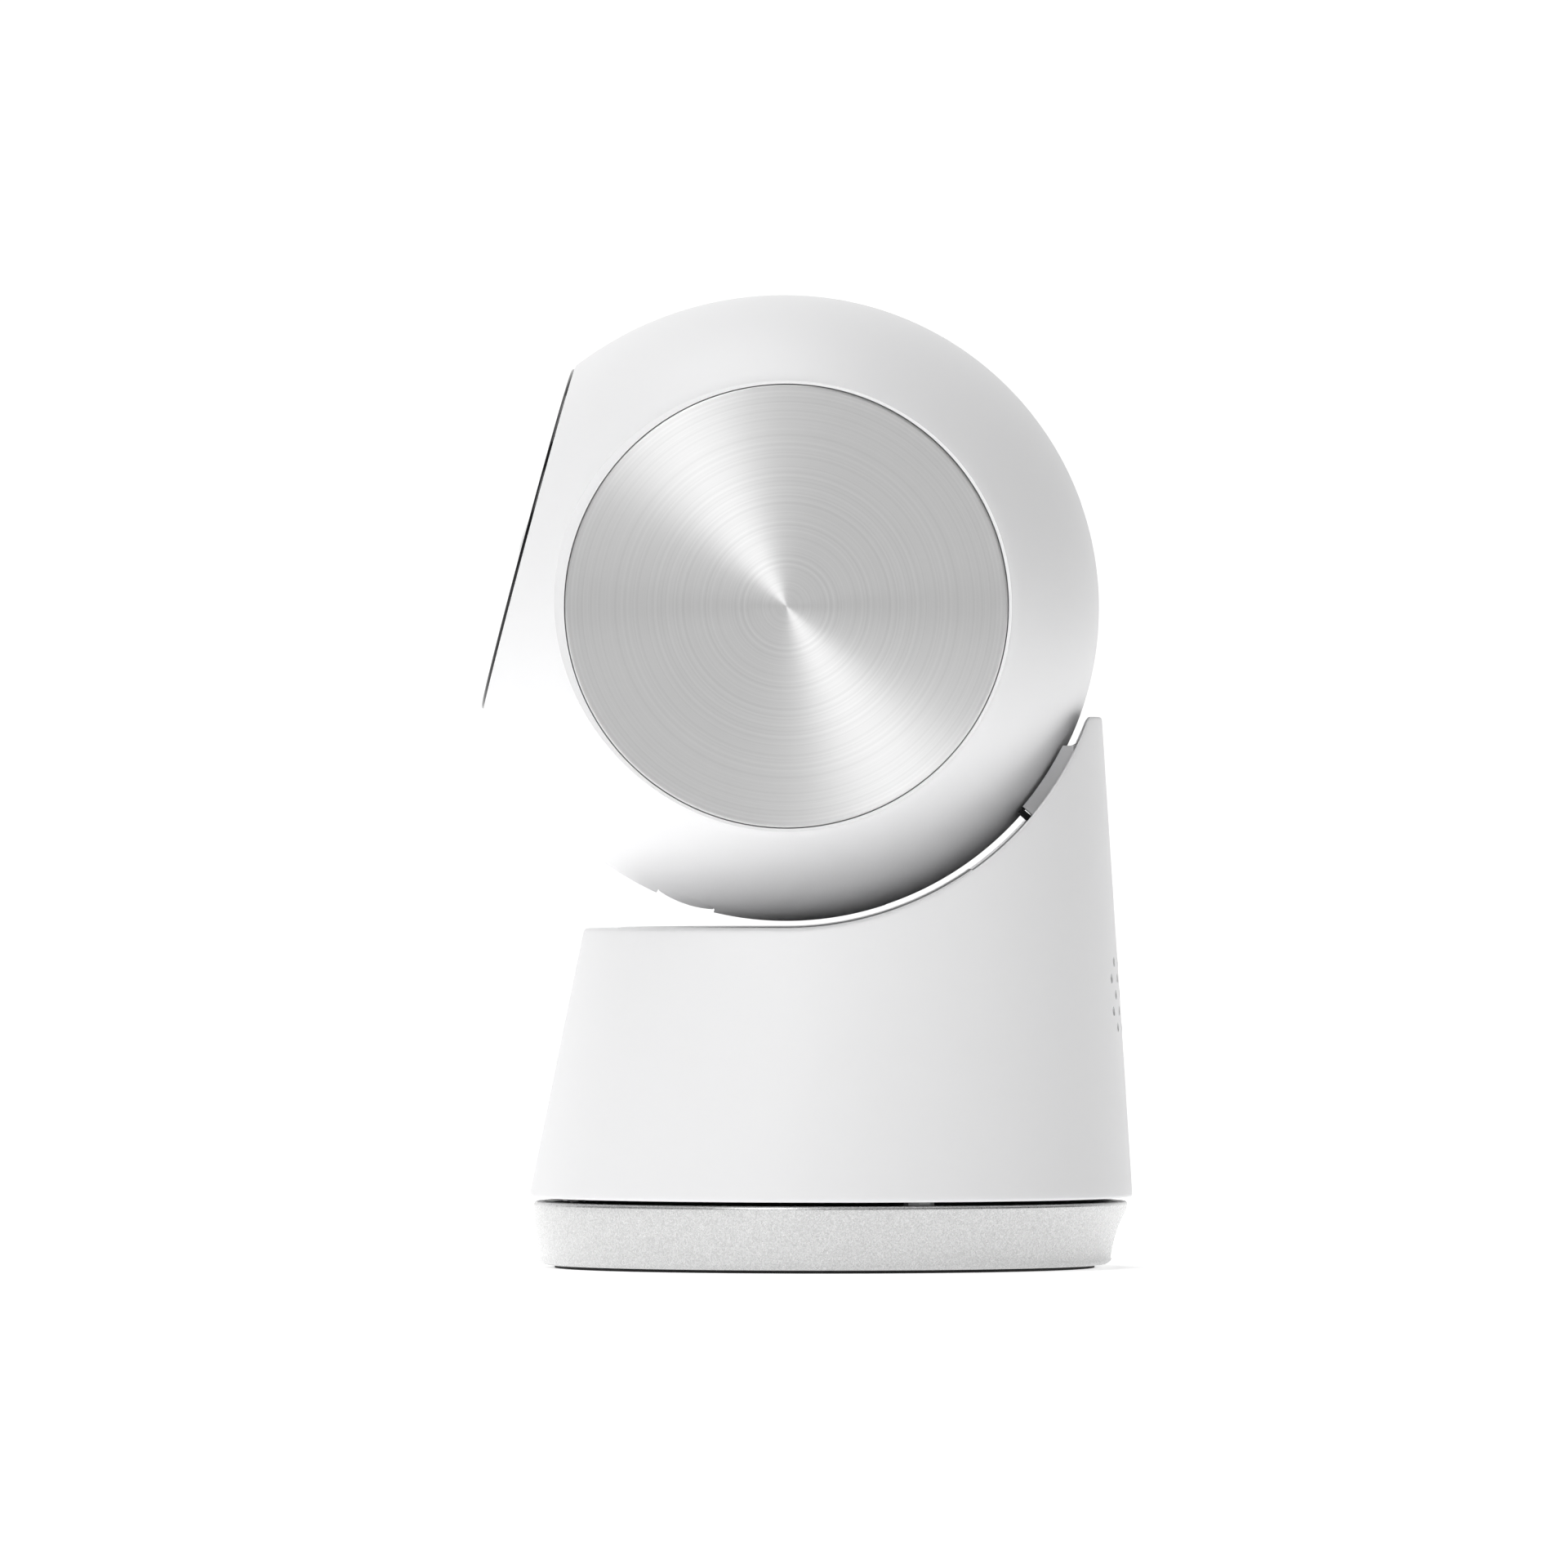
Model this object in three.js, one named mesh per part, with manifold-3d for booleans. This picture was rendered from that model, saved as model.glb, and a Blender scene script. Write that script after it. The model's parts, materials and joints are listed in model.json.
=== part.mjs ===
// Indoor pan-and-tilt security camera: a ball head on a leaning conical housing that turns on a round base.
// Millimetres. The origin is on the pan axis at the resting surface.
// +Z is up, -Y is the front and +X is the camera's left.
import * as THREE from "three";
import { mergeVertices } from "three/addons/utils/BufferGeometryUtils.js";
import Module from "manifold-3d";

const wasm = await Module();
wasm.setup();

// ---- Driving dimensions ----

// Clearances
const RUN = 0.3; // between neighbouring pieces
const FINE = 0.15; // hairline between trim and its recess
const SEAM = 0.12; // between the two halves of the ball

// Foot and base
const BASE_HEIGHT = 8;
const FOOT_PROUD = 0.4;
const FOOT_THICK = 0.6;
const FOOT_INSET = 2.0;
const LUG_WIDTH = 7;
const LUG_DEPTH = 5;
const LUG_EDGE = 4.5; // from the lug's middle to the edge of the foot
const LUG_LIFT = 0.1;
const BASE_INSET = 0.55; // base rim inside the housing's lower edge
const BASE_DRAFT = 1.45;
const BASE_SHIFT = 0.8;
const BASE_WALL = 1.8;
const BASE_FLOOR = 1.3;
const DECK_THICK = 1.2;
const DECK_DROP = 0.2;
const BALLAST_THICK = 2;
const BALLAST_BORE = 12;

// Power inlet and reset button
const INLET_WIDTH = 12.4;
const INLET_HEIGHT = 5.6;
const INLET_DEPTH = 4.8;
const INLET_WALL = 1.2;
const SOCKET_WIDTH = 8.9;
const SOCKET_HEIGHT = 3.2;
const SOCKET_LENGTH = 7.4;
const SOCKET_SKIN = 0.35;
const TONGUE_THICK = 0.7;
const POWER_BOARD_WIDTH = 19;
const POWER_BOARD_LENGTH = 17;
const POWER_BOARD_THICK = 0.8;
const POWER_BOARD_GAP = 0.38; // under the deck
const BUTTON_R = 1.4;
const BUTTON_ANGLE = 118; // from +X towards the rear
const BUTTON_SINK = 0.5; // of its face behind the mouth of the inlet
const BUTTON_LENGTH = 4.2;
const BUTTON_FLANGE = 0.6;
const BUTTON_TRAVEL = 0.5;
const SWITCH_SIZE = 5;
const SWITCH_THICK = 3;

// Pan drive
const PAN_GAP = 0.5; // between base and housing
const PAN_MODULE = 1;
const PAN_GEAR_TEETH = 30;
const TILT_MODULE = 0.8;
const TILT_GEAR_TEETH = 30;
const PINION_TEETH = 10;
const GEAR_THICK = 3;
const SPINDLE_R = 6;
const SPINDLE_BORE = 3.5;
const SPINDLE_FLANGE = 3;
const FLANGE_THICK = 1.2;
const BEARING_R = 10;
const BEARING_THICK = 1.7;
const CLIP_THICK = 1;
const CLIP_GROOVE = 0.9;
const CABLE_R = 1.8;
const PAN_MOTOR_R = 9;
const PAN_MOTOR_HEIGHT = 11;
const PAN_MOTOR_ANGLE = -135;

// Housing
const HOUSING_R = 38; // at its lower edge
const HOUSING_TAPER = 0.1346; // radius lost per millimetre of height
const HOUSING_LEAN = 0.0703; // shift to the rear per millimetre of height
const HOUSING_HEIGHT = 33.8; // to the front deck
const FIN_HEIGHT = 26.6; // above the front deck
const WALL = 2;
const ROOF = 3.2;
const CRADLE_GAP = 0.9; // between the ball and its cradle
const LID_MARGIN = 4.2;
const LID_THICK = 1.6;
const LID_PROUD = 0.15;
const LID_LEDGE = 2.4;
const LID_END = 54.5; // degrees below the rear horizontal
const FLOOR_THICK = 1.6;
const BOSS_R = 2.6;
const SCREW_R = 0.95;
const SCREW_HEAD_R = 1.9;
const SCREW_HEAD = 1.3;
const BOARD_HEIGHT = 15; // above the turret floor
const BOARD_THICK = 1.2;
const BOARD_MARGIN = 3; // inside the housing's wall
const BOARD_POST_R = 2.2;
const BOARD_POST_INSET = 3.5; // of the post's axis from the board's edge
const HEAT_SINK_SIZE = 24;
const HEAT_SINK_AHEAD = 6; // its middle ahead of the pan axis
const HEAT_SINK_PLATE = 1.2;
const HEAT_SINK_HEIGHT = 5;
const COOLING_FINS = 6;
const COOLING_FIN_THICK = 1;
const FLOOR_BOSS_HEIGHT = 9;
const SPEAKER_R = 9.5;
const SPEAKER_DEPTH = 5;
const SPEAKER_RIM = 2;
const SPEAKER_EDGE = 1.2; // width of the rim's ring
const SPEAKER_GAP = 0.8; // to the housing's wall
const SPEAKER_HEIGHT = 34.4; // above the resting surface
const HOLE_R = 0.6;
const HOLE_ROW = 2.05;
const HOLE_PITCH = 6.9; // degrees
const HOLE_COUNTS = [4, 5, 4, 5, 4];
const MICROPHONE_HEIGHT = 23.5;
const MICROPHONE_HOLE_R = 0.5;
const MICROPHONE_R = 2.6;
const MICROPHONE_LENGTH = 3;

// Head
const HEAD_R = 39.4;
const HEAD_FORWARD = 5.6; // tilt axis ahead of the pan axis
const HEAD_WALL = 2;
const FACE_PITCH = 15; // degrees up at rest
const FACE_CUT = 5.9;
const FRONT_EASE = 3.7; // profile radius of the front over the ball's
const FRONT_START = 80; // degrees from the face normal
const GLASS_RIM = 0.45;
const GLASS_THICK = 1.8;
const GLASS_PROUD = 0.4;
const GLASS_LIP = 3;
const LIP_THICK = 1.5;
const SIDE_CUT = 11.8;
const DISC_EDGE = 0.52; // between the disc and the edge of its flat
const DISC_THICK = 2;
const DISC_PROUD = 0.15;
const SIDE_WALL = 1.5;
const LENS_DROP = 0.4;
const LENS_R = 3.5;
const LENS_HEIGHT = 0.67;
const LENS_SKIN = 0.3;
const ELEMENT_R = 2.35;
const ELEMENT_HEIGHT = 0.16;
const BARREL_R = 6.5;
const BARREL_FLANGE = 7; // half its width
const SENSOR_HALF = 3.5;
const SENSOR_THICK = 0.8;
const SENSOR_BOARD_HALF = 12;
const SMALL_BOARD_THICK = 1;
const LED_R = 2.4;
const LED_ORBIT = 14;
const LED_COUNT = 2;
const DOOR_WIDTH = 18.5;
const DOOR_LENGTH = 7.6;
const DOOR_ANGLE = 86; // degrees from the face normal, downwards
const DOOR_THICK = 1.6;

// Neck and tilt drive
const TILT_UP = 45;
const TILT_DOWN = 30;
const NECK_TOP = 26.1; // degrees below the rear horizontal
const NECK_BOTTOM = 40.1;
const BOOT_BOTTOM = 41.5;
const NECK_HALF = 9.5;
const NECK_FILLET = 1.4;
const ARM_HALF_THICK = 1.7;
const ARM_HALF_WIDTH = 3.5;
const ARM_ANGLE = 33.5;
const MAST_DEPTH = 9; // of the upright below the arm, and ahead of it
const HUB_R = 8;
const AXLE_R = 2;
const TILT_PLAY = 0.1;
const CHEEK_GAP = 0.4; // between the tilt gear and the cheek
const CHEEK_THICK = 1.8;
const CHASSIS_AHEAD = 16;
const CHASSIS_THICK = 2;
const BUSH_R = 3.6;
const TILT_MOTOR_R = 7.5;
const EAR_REACH = 2; // of a motor's fixing ears
const EAR_HALF = 1.6;
const EAR_THICK = 1.2;
const SHAFT_R = 1.2;
const TILT_MOTOR_LENGTH = 9.5;

// Facets round a circle
const RIM = 60;
const BALL = 44;
const ROUND = 24;
const SMALL = 8;

// ---- Places worked out from them ----

const baseBottom = FOOT_PROUD;
const baseTop = baseBottom + BASE_HEIGHT;
const baseTopR = HOUSING_R - BASE_INSET;
const baseBottomR = baseTopR - BASE_DRAFT;
const baseFloorTop = baseBottom + FOOT_THICK + RUN - FOOT_PROUD + BASE_FLOOR;
const deckTop = baseTop - DECK_DROP;
const deckBottom = deckTop - DECK_THICK;
const housingBottom = baseTop + PAN_GAP;
const roofTop = housingBottom + HOUSING_HEIGHT;
const cradleR = HEAD_R + CRADLE_GAP;
const finTop = roofTop + FIN_HEIGHT;
const headY = -HEAD_FORWARD;
const headZ = roofTop + cradleR;
const above = finTop + HEAD_R; // over everything that a cut has to reach
const gearBottom = deckTop + RUN;
const gearTop = gearBottom + GEAR_THICK;
const bearingBottom = gearTop + RUN;
const floorBottom = bearingBottom + BEARING_THICK + RUN;
const floorTop = floorBottom + FLOOR_THICK;
const clipBottom = floorTop + RUN;
const boardBottom = floorTop + BOARD_HEIGHT;
const boardTop = boardBottom + BOARD_THICK;
const boardInset = WALL + BOARD_MARGIN;
const powerBoardBottom = deckBottom - POWER_BOARD_GAP - POWER_BOARD_THICK;
const inletZ = powerBoardBottom - RUN - SOCKET_HEIGHT / 2;
const buttonZ = (baseFloorTop + deckBottom) / 2;
const frontR = HEAD_R + FRONT_EASE;
const faceDistance = HEAD_R - FACE_CUT;
const glassFront = faceDistance + GLASS_PROUD;
const glassBack = glassFront - GLASS_THICK;
const lipFront = glassBack - FINE;
const lipBack = lipFront - LIP_THICK;
const sideX = HEAD_R - SIDE_CUT;
const discR = Math.sqrt(HEAD_R ** 2 - sideX ** 2) - DISC_EDGE;
const discInner = sideX + DISC_PROUD - DISC_THICK;
const ledgeX = discInner - FINE;
const hollowX = ledgeX - SIDE_WALL;
const headBossOrbit = Math.sqrt((HEAD_R - HEAD_WALL) ** 2 - hollowX ** 2) - BOSS_R - 1;
const gearInner = ARM_HALF_THICK + RUN;
const gearOuter = gearInner + GEAR_THICK - 0.4;
const cheekInner = gearOuter + CHEEK_GAP;
const cheekOuter = cheekInner + CHEEK_THICK;
const panCentres = (PAN_MODULE * (PAN_GEAR_TEETH + PINION_TEETH)) / 2;
const tiltCentres = (TILT_MODULE * (TILT_GEAR_TEETH + PINION_TEETH)) / 2;

// ---- Solids from three.js geometries ----

const AXIS = {
  x: new THREE.Vector3(1, 0, 0),
  y: new THREE.Vector3(0, 1, 0),
  z: new THREE.Vector3(0, 0, 1),
};
const radians = THREE.MathUtils.degToRad;

function solid(geometry) {
  const bare = geometry.clone();
  bare.deleteAttribute("normal");
  bare.deleteAttribute("uv");
  const merged = mergeVertices(bare, 1e-4);
  const vertProperties = merged.attributes.position.array;
  const triVerts = new Uint32Array(merged.index.array);
  return new wasm.Manifold(new wasm.Mesh({ numProp: 3, vertProperties, triVerts }));
}

function geometryOf(body) {
  const mesh = body.getMesh();
  const geometry = new THREE.BufferGeometry();
  geometry.setAttribute("position", new THREE.BufferAttribute(new Float32Array(mesh.vertProperties), 3));
  geometry.setIndex(new THREE.BufferAttribute(new Uint32Array(mesh.triVerts), 1));
  geometry.computeVertexNormals();
  return geometry;
}

function join(...bodies) {
  return bodies.reduce((sum, body) => sum.add(body));
}

function cut(body, ...tools) {
  return tools.reduce((rest, tool) => rest.subtract(tool), body);
}

// Round bar along Z, from low to high; taper gives the upper radius.
function barZ(radius, low, high, { x = 0, y = 0, segments = ROUND, upper = radius } = {}) {
  const geometry = new THREE.CylinderGeometry(upper, radius, high - low, segments);
  geometry.rotateX(Math.PI / 2);
  geometry.translate(x, y, (low + high) / 2);
  return solid(geometry);
}

function barX(radius, low, high, { y = 0, z = 0, segments = ROUND } = {}) {
  const geometry = new THREE.CylinderGeometry(radius, radius, high - low, segments);
  geometry.rotateZ(Math.PI / 2);
  geometry.translate((low + high) / 2, y, z);
  return solid(geometry);
}

function barY(radius, low, high, { x = 0, z = 0, segments = ROUND, front = radius } = {}) {
  const geometry = new THREE.CylinderGeometry(radius, front, high - low, segments);
  geometry.translate(x, (low + high) / 2, z);
  return solid(geometry);
}

function block([x0, x1], [y0, y1], [z0, z1]) {
  const geometry = new THREE.BoxGeometry(x1 - x0, y1 - y0, z1 - z0);
  geometry.translate((x0 + x1) / 2, (y0 + y1) / 2, (z0 + z1) / 2);
  return solid(geometry);
}

function extrusion(shape, depth, curveSegments) {
  return new THREE.ExtrudeGeometry(shape, { depth, curveSegments, bevelEnabled: false });
}

// Outline drawn in Y and Z, carried along X.
function slabX(shape, low, high, curveSegments = 8) {
  const geometry = extrusion(shape, high - low, curveSegments);
  geometry.applyMatrix4(new THREE.Matrix4().makeBasis(AXIS.y, AXIS.z, AXIS.x));
  geometry.translate(low, 0, 0);
  return solid(geometry);
}

// Outline drawn in X and Z, carried along Y.
function slabY(shape, low, high, curveSegments = 5) {
  const geometry = extrusion(shape, high - low, curveSegments);
  geometry.applyMatrix4(new THREE.Matrix4().makeBasis(AXIS.x, AXIS.z, AXIS.y.clone().negate()));
  geometry.translate(0, high, 0);
  return solid(geometry);
}

function slabZ(shape, low, high, curveSegments = 5) {
  const geometry = extrusion(shape, high - low, curveSegments);
  geometry.translate(0, 0, low);
  return solid(geometry);
}

function polygon(points) {
  return new THREE.Shape(points.map(([u, v]) => new THREE.Vector2(u, v)));
}

// Slot with round ends, width across and height up, about a centre.
function racetrack(width, height, u = 0, v = 0) {
  const radius = height / 2;
  const reach = width / 2 - radius;
  const shape = new THREE.Shape();
  shape.absarc(u + reach, v, radius, -Math.PI / 2, Math.PI / 2);
  shape.absarc(u - reach, v, radius, Math.PI / 2, (3 * Math.PI) / 2);
  shape.closePath();
  return shape;
}

// Cone whose circles slide along Y as they rise.
function leaningCone(lowR, highR, low, high, lowY, highY) {
  const height = high - low;
  const geometry = new THREE.CylinderGeometry(highR, lowR, height, RIM);
  geometry.rotateX(Math.PI / 2);
  geometry.translate(0, 0, height / 2);
  geometry.applyMatrix4(new THREE.Matrix4().makeShear(0, 0, 0, 0, 0, (highY - lowY) / height));
  geometry.translate(0, lowY, low);
  return solid(geometry);
}

function involute(angle) {
  return Math.tan(angle) - angle;
}

// Spur gear outline with involute flanks; one tooth points along the phase angle.
function gearShape(teeth, module, phase) {
  const pressure = radians(22.5);
  const addendum = 0.75 * module;
  const dedendum = 1.05 * module;
  const backlash = 0.12;
  const pitch = (module * teeth) / 2;
  const base = pitch * Math.cos(pressure);
  const tip = pitch + addendum;
  const root = pitch - dedendum;
  const half = Math.PI / (2 * teeth) - backlash / (2 * pitch);
  const flank = root < base ? [[root, half + involute(pressure)]] : [];
  for (const radius of [Math.max(base, root), tip]) {
    const roll = involute(Math.acos(Math.min(1, base / radius)));
    flank.push([radius, half + involute(pressure) - roll]);
  }
  const points = [];
  for (let tooth = 0; tooth < teeth; tooth++) {
    const centre = phase + (2 * Math.PI * tooth) / teeth;
    const rising = flank.map(([r, a]) => [r, centre - a]);
    const falling = flank.map(([r, a]) => [r, centre + a]).reverse();
    points.push(...[...rising, ...falling].map(([r, a]) => [r * Math.cos(a), r * Math.sin(a)]));
  }
  return polygon(points);
}

// Phase that puts a pinion's tooth gap onto the tooth that faces it.
function meshPhase(direction) {
  return direction + Math.PI + Math.PI / PINION_TEETH;
}

function screwZ(x, y, headBottom, length) {
  const head = barZ(SCREW_HEAD_R, headBottom, headBottom + SCREW_HEAD, { x, y, segments: SMALL });
  return head.add(barZ(SCREW_R, headBottom, headBottom + SCREW_HEAD + length, { x, y, segments: SMALL }));
}

// ---- The scene graph ----

const camera = new THREE.Group();
const base = new THREE.Group();
const turret = new THREE.Group();
const head = new THREE.Group();
const tiltFrame = new THREE.Group(); // pieces of the neck that stay put while the head turns about them
head.position.set(0, headY, headZ);
head.rotation.x = radians(-FACE_PITCH);
tiltFrame.position.copy(head.position);
tiltFrame.rotation.copy(head.rotation);
turret.add(tiltFrame);
camera.add(base, turret, head);

const PAINT = {
  white: { color: 0xf2f2f2, roughness: 0.45, metalness: 0 },
  silver: { color: 0xc4c5c7, roughness: 0.4, metalness: 0.6 },
  turned: { color: 0xdadada, roughness: 0.25, metalness: 1 },
  black: { color: 0x161616, roughness: 0.6, metalness: 0 },
  gloss: { color: 0x08080a, roughness: 0.08, metalness: 0 },
  rubber: { color: 0x1b1b1b, roughness: 0.9, metalness: 0 },
  steel: { color: 0xa8a9ab, roughness: 0.35, metalness: 1 },
  board: { color: 0x1d4a33, roughness: 0.5, metalness: 0 },
  chip: { color: 0x202124, roughness: 0.4, metalness: 0 },
  acetal: { color: 0xe6e2d6, roughness: 0.4, metalness: 0 },
  clear: { color: 0xe8ecf2, roughness: 0.05, metalness: 0 },
  coated: { color: 0x4a2a6a, roughness: 0.05, metalness: 0 },
};

function place(group, name, body, paint) {
  const mesh = new THREE.Mesh(geometryOf(body), new THREE.MeshStandardMaterial(PAINT[paint]));
  mesh.name = name;
  group.add(mesh);
}

// ---- Base ----

function baseCone(inset, low, high) {
  const share = (z) => (z - baseBottom) / BASE_HEIGHT;
  const radius = (z) => baseBottomR + BASE_DRAFT * share(z) - inset;
  const shift = (z) => -BASE_SHIFT * (1 - share(z));
  return leaningCone(radius(low), radius(high), low, high, shift(low), shift(high));
}

function baseRearY(z) {
  const share = (z - baseBottom) / BASE_HEIGHT;
  return baseBottomR + BASE_DRAFT * share - BASE_SHIFT * (1 - share);
}

const inletMouth = baseRearY(inletZ);
const inletFloor = inletMouth - INLET_DEPTH;
const footR = baseBottomR - FOOT_INSET;
const lugOrbit = footR - LUG_EDGE;
const lugAngles = [45, 135, 225, 315].map(radians);
const deckScrewOrbit = baseTopR - BASE_WALL - BOSS_R - 1.2;
const deckScrewAngles = [-90, 20, 160].map(radians);

function lug(grow, low, high) {
  const across = LUG_WIDTH / 2 + grow;
  const out = LUG_DEPTH / 2 + grow;
  return (angle) =>
    block([lugOrbit - out, lugOrbit + out], [-across, across], [low, high])
      .rotate([0, 0, THREE.MathUtils.radToDeg(angle)])
      .translate([0, -BASE_SHIFT, 0]);
}

function buildFoot() {
  const disc = barZ(footR, 0, FOOT_THICK, { y: -BASE_SHIFT, segments: RIM });
  return cut(disc, ...lugAngles.map(lug(RUN, -1, FOOT_THICK + 1)));
}

function inletPocket() {
  const outline = racetrack(INLET_WIDTH + 2 * INLET_WALL, INLET_HEIGHT + 2 * INLET_WALL, 0, inletZ);
  const body = slabY(outline, inletFloor - INLET_WALL, inletMouth);
  return body.intersect(baseCone(0.2, baseBottom + FOOT_THICK, deckBottom - RUN));
}

function deckBoss(angle) {
  const at = { x: deckScrewOrbit * Math.cos(angle), y: deckScrewOrbit * Math.sin(angle), segments: SMALL };
  const post = barZ(BOSS_R, baseFloorTop - 0.5, deckBottom - RUN, at);
  return cut(post, barZ(SCREW_R + RUN, baseFloorTop, deckBottom, at));
}

function buttonTool(radius, inner, outer) {
  return barX(radius, inner, outer, { z: buttonZ, segments: ROUND / 2 }).rotate([0, 0, BUTTON_ANGLE]);
}

const buttonFace = inletMouth - BUTTON_SINK;
const buttonInner = buttonFace - BUTTON_LENGTH;

function buildBaseShell() {
  const outer = baseCone(0, baseBottom, baseTop);
  const inner = baseCone(BASE_WALL, baseFloorTop, baseTop + 1);
  const footRecess = barZ(footR + RUN, baseBottom - 1, FOOT_THICK + RUN, { y: -BASE_SHIFT, segments: RIM });
  const cup = join(cut(outer, inner, footRecess), ...lugAngles.map(lug(0, LUG_LIFT, baseFloorTop - 0.5)));
  const full = join(cup, inletPocket(), ...deckScrewAngles.map(deckBoss));
  const inlet = slabY(racetrack(INLET_WIDTH, INLET_HEIGHT, 0, inletZ), inletFloor, inletMouth + 2);
  const mouth = racetrack(SOCKET_WIDTH + 2 * RUN, SOCKET_HEIGHT + 2 * RUN, 0, inletZ);
  return cut(
    full,
    inlet,
    slabY(mouth, inletFloor - INLET_WALL - 1, inletFloor + 1),
    buttonTool(BUTTON_R + RUN, buttonInner, inletMouth + 4),
  );
}

function buildDeck() {
  const plate = baseCone(BASE_WALL + RUN, deckBottom, deckTop);
  const holes = deckScrewAngles.map((angle) =>
    barZ(SCREW_R + RUN, deckBottom - 1, deckTop + 1, {
      x: deckScrewOrbit * Math.cos(angle),
      y: deckScrewOrbit * Math.sin(angle),
      segments: SMALL,
    }),
  );
  return cut(plate, barZ(SPINDLE_R + RUN, deckBottom - 1, deckTop + 1), ...holes);
}

// Screw head on the deck's top, shank down into the post.
function deckScrew(angle) {
  const x = deckScrewOrbit * Math.cos(angle);
  const y = deckScrewOrbit * Math.sin(angle);
  const head = barZ(SCREW_HEAD_R, deckTop + FINE, deckTop + FINE + SCREW_HEAD, { x, y, segments: SMALL });
  return head.add(barZ(SCREW_R, baseFloorTop + RUN, deckTop + 0.5, { x, y, segments: SMALL }));
}

const powerBoardFront = inletFloor - SOCKET_LENGTH - 5;

function buildBallast() {
  const ring = baseCone(BASE_WALL + 5.5, baseFloorTop + RUN, baseFloorTop + RUN + BALLAST_THICK);
  const bore = barZ(BALLAST_BORE, baseFloorTop, deckTop);
  const room = block([-above, above], [powerBoardFront - 1, above], [0, deckTop]);
  const posts = deckScrewAngles.map((angle) =>
    barZ(BOSS_R + RUN, 0, deckTop, {
      x: deckScrewOrbit * Math.cos(angle),
      y: deckScrewOrbit * Math.sin(angle),
      segments: SMALL,
    }),
  );
  return cut(ring, bore, room, ...posts);
}

function buildResetSwitch(grow = 0) {
  const face = buttonInner - 1 - BUTTON_TRAVEL - RUN + grow;
  const across = SWITCH_SIZE / 2 + grow;
  const up = SWITCH_THICK / 2 + grow;
  const body = block([face - SWITCH_THICK - 2 * grow, face], [-across, across], [buttonZ - up, buttonZ + up]);
  return body.rotate([0, 0, BUTTON_ANGLE]);
}

function buildPowerBoard() {
  const half = POWER_BOARD_WIDTH / 2;
  const top = powerBoardBottom + POWER_BOARD_THICK;
  const rear = inletFloor - INLET_WALL - RUN;
  const corner = rear - POWER_BOARD_LENGTH;
  const plate = block([-half, half], [corner, rear], [powerBoardBottom, top]);
  const inside = baseCone(BASE_WALL + RUN, baseFloorTop, deckTop);
  const spindleRoom = barZ(SPINDLE_R + SPINDLE_FLANGE + RUN, 0, deckTop);
  return cut(plate.intersect(inside), spindleRoom, buildResetSwitch(RUN));
}

function buildSocketShell() {
  const rear = inletFloor - RUN;
  const outer = slabY(racetrack(SOCKET_WIDTH, SOCKET_HEIGHT, 0, inletZ), rear - SOCKET_LENGTH, rear);
  const bore = racetrack(SOCKET_WIDTH - 2 * SOCKET_SKIN, SOCKET_HEIGHT - 2 * SOCKET_SKIN, 0, inletZ);
  return cut(outer, slabY(bore, rear - SOCKET_LENGTH - 1, rear + 1));
}

function buildSocketTongue() {
  const rear = inletFloor - RUN;
  const play = 2 * (SOCKET_SKIN + FINE);
  const plug = racetrack(SOCKET_WIDTH - play, SOCKET_HEIGHT - play, 0, inletZ);
  const half = TONGUE_THICK / 2;
  const tongue = block([-3.3, 3.3], [rear - SOCKET_LENGTH + 1, rear - 1], [inletZ - half, inletZ + half]);
  return slabY(plug, rear - SOCKET_LENGTH, rear - SOCKET_LENGTH + 1.6).add(tongue);
}

function buildResetButton() {
  const flange = buttonTool(BUTTON_R + BUTTON_FLANGE, buttonInner - 1, buttonInner);
  return buttonTool(BUTTON_R, buttonInner - 1, buttonFace).add(flange);
}


function buildSpindle() {
  const top = clipBottom + CLIP_THICK + 2;
  const post = barZ(SPINDLE_R, deckBottom, top);
  const flange = barZ(SPINDLE_R + SPINDLE_FLANGE, deckBottom - RUN - FLANGE_THICK, deckBottom - RUN);
  const neck = barZ(SPINDLE_R, deckBottom - RUN - 1, deckBottom + 1);
  const groove = cut(
    barZ(SPINDLE_R + 1, clipBottom - FINE, clipBottom + CLIP_THICK + FINE),
    barZ(SPINDLE_R - CLIP_GROOVE, clipBottom - 1, clipBottom + CLIP_THICK + 1),
  );
  return cut(join(post, flange, neck), groove, barZ(SPINDLE_BORE, 0, top + 1));
}

function buildPanGear() {
  const shape = gearShape(PAN_GEAR_TEETH, PAN_MODULE, radians(PAN_MOTOR_ANGLE));
  return cut(slabZ(shape, gearBottom, gearTop), barZ(SPINDLE_R + RUN, gearBottom - 1, gearTop + 1));
}

function buildBearing() {
  const ring = barZ(BEARING_R, bearingBottom, bearingBottom + BEARING_THICK);
  return cut(ring, barZ(SPINDLE_R + RUN, bearingBottom - 1, floorBottom));
}

function buildClip() {
  const ring = barZ(SPINDLE_R + 2.5, clipBottom, clipBottom + CLIP_THICK);
  const bore = barZ(SPINDLE_R - CLIP_GROOVE + FINE, clipBottom - 1, clipBottom + CLIP_THICK + 1);
  return cut(ring, bore, block([-2, 2], [0, above], [clipBottom - 1, clipBottom + CLIP_THICK + 1]));
}

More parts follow.
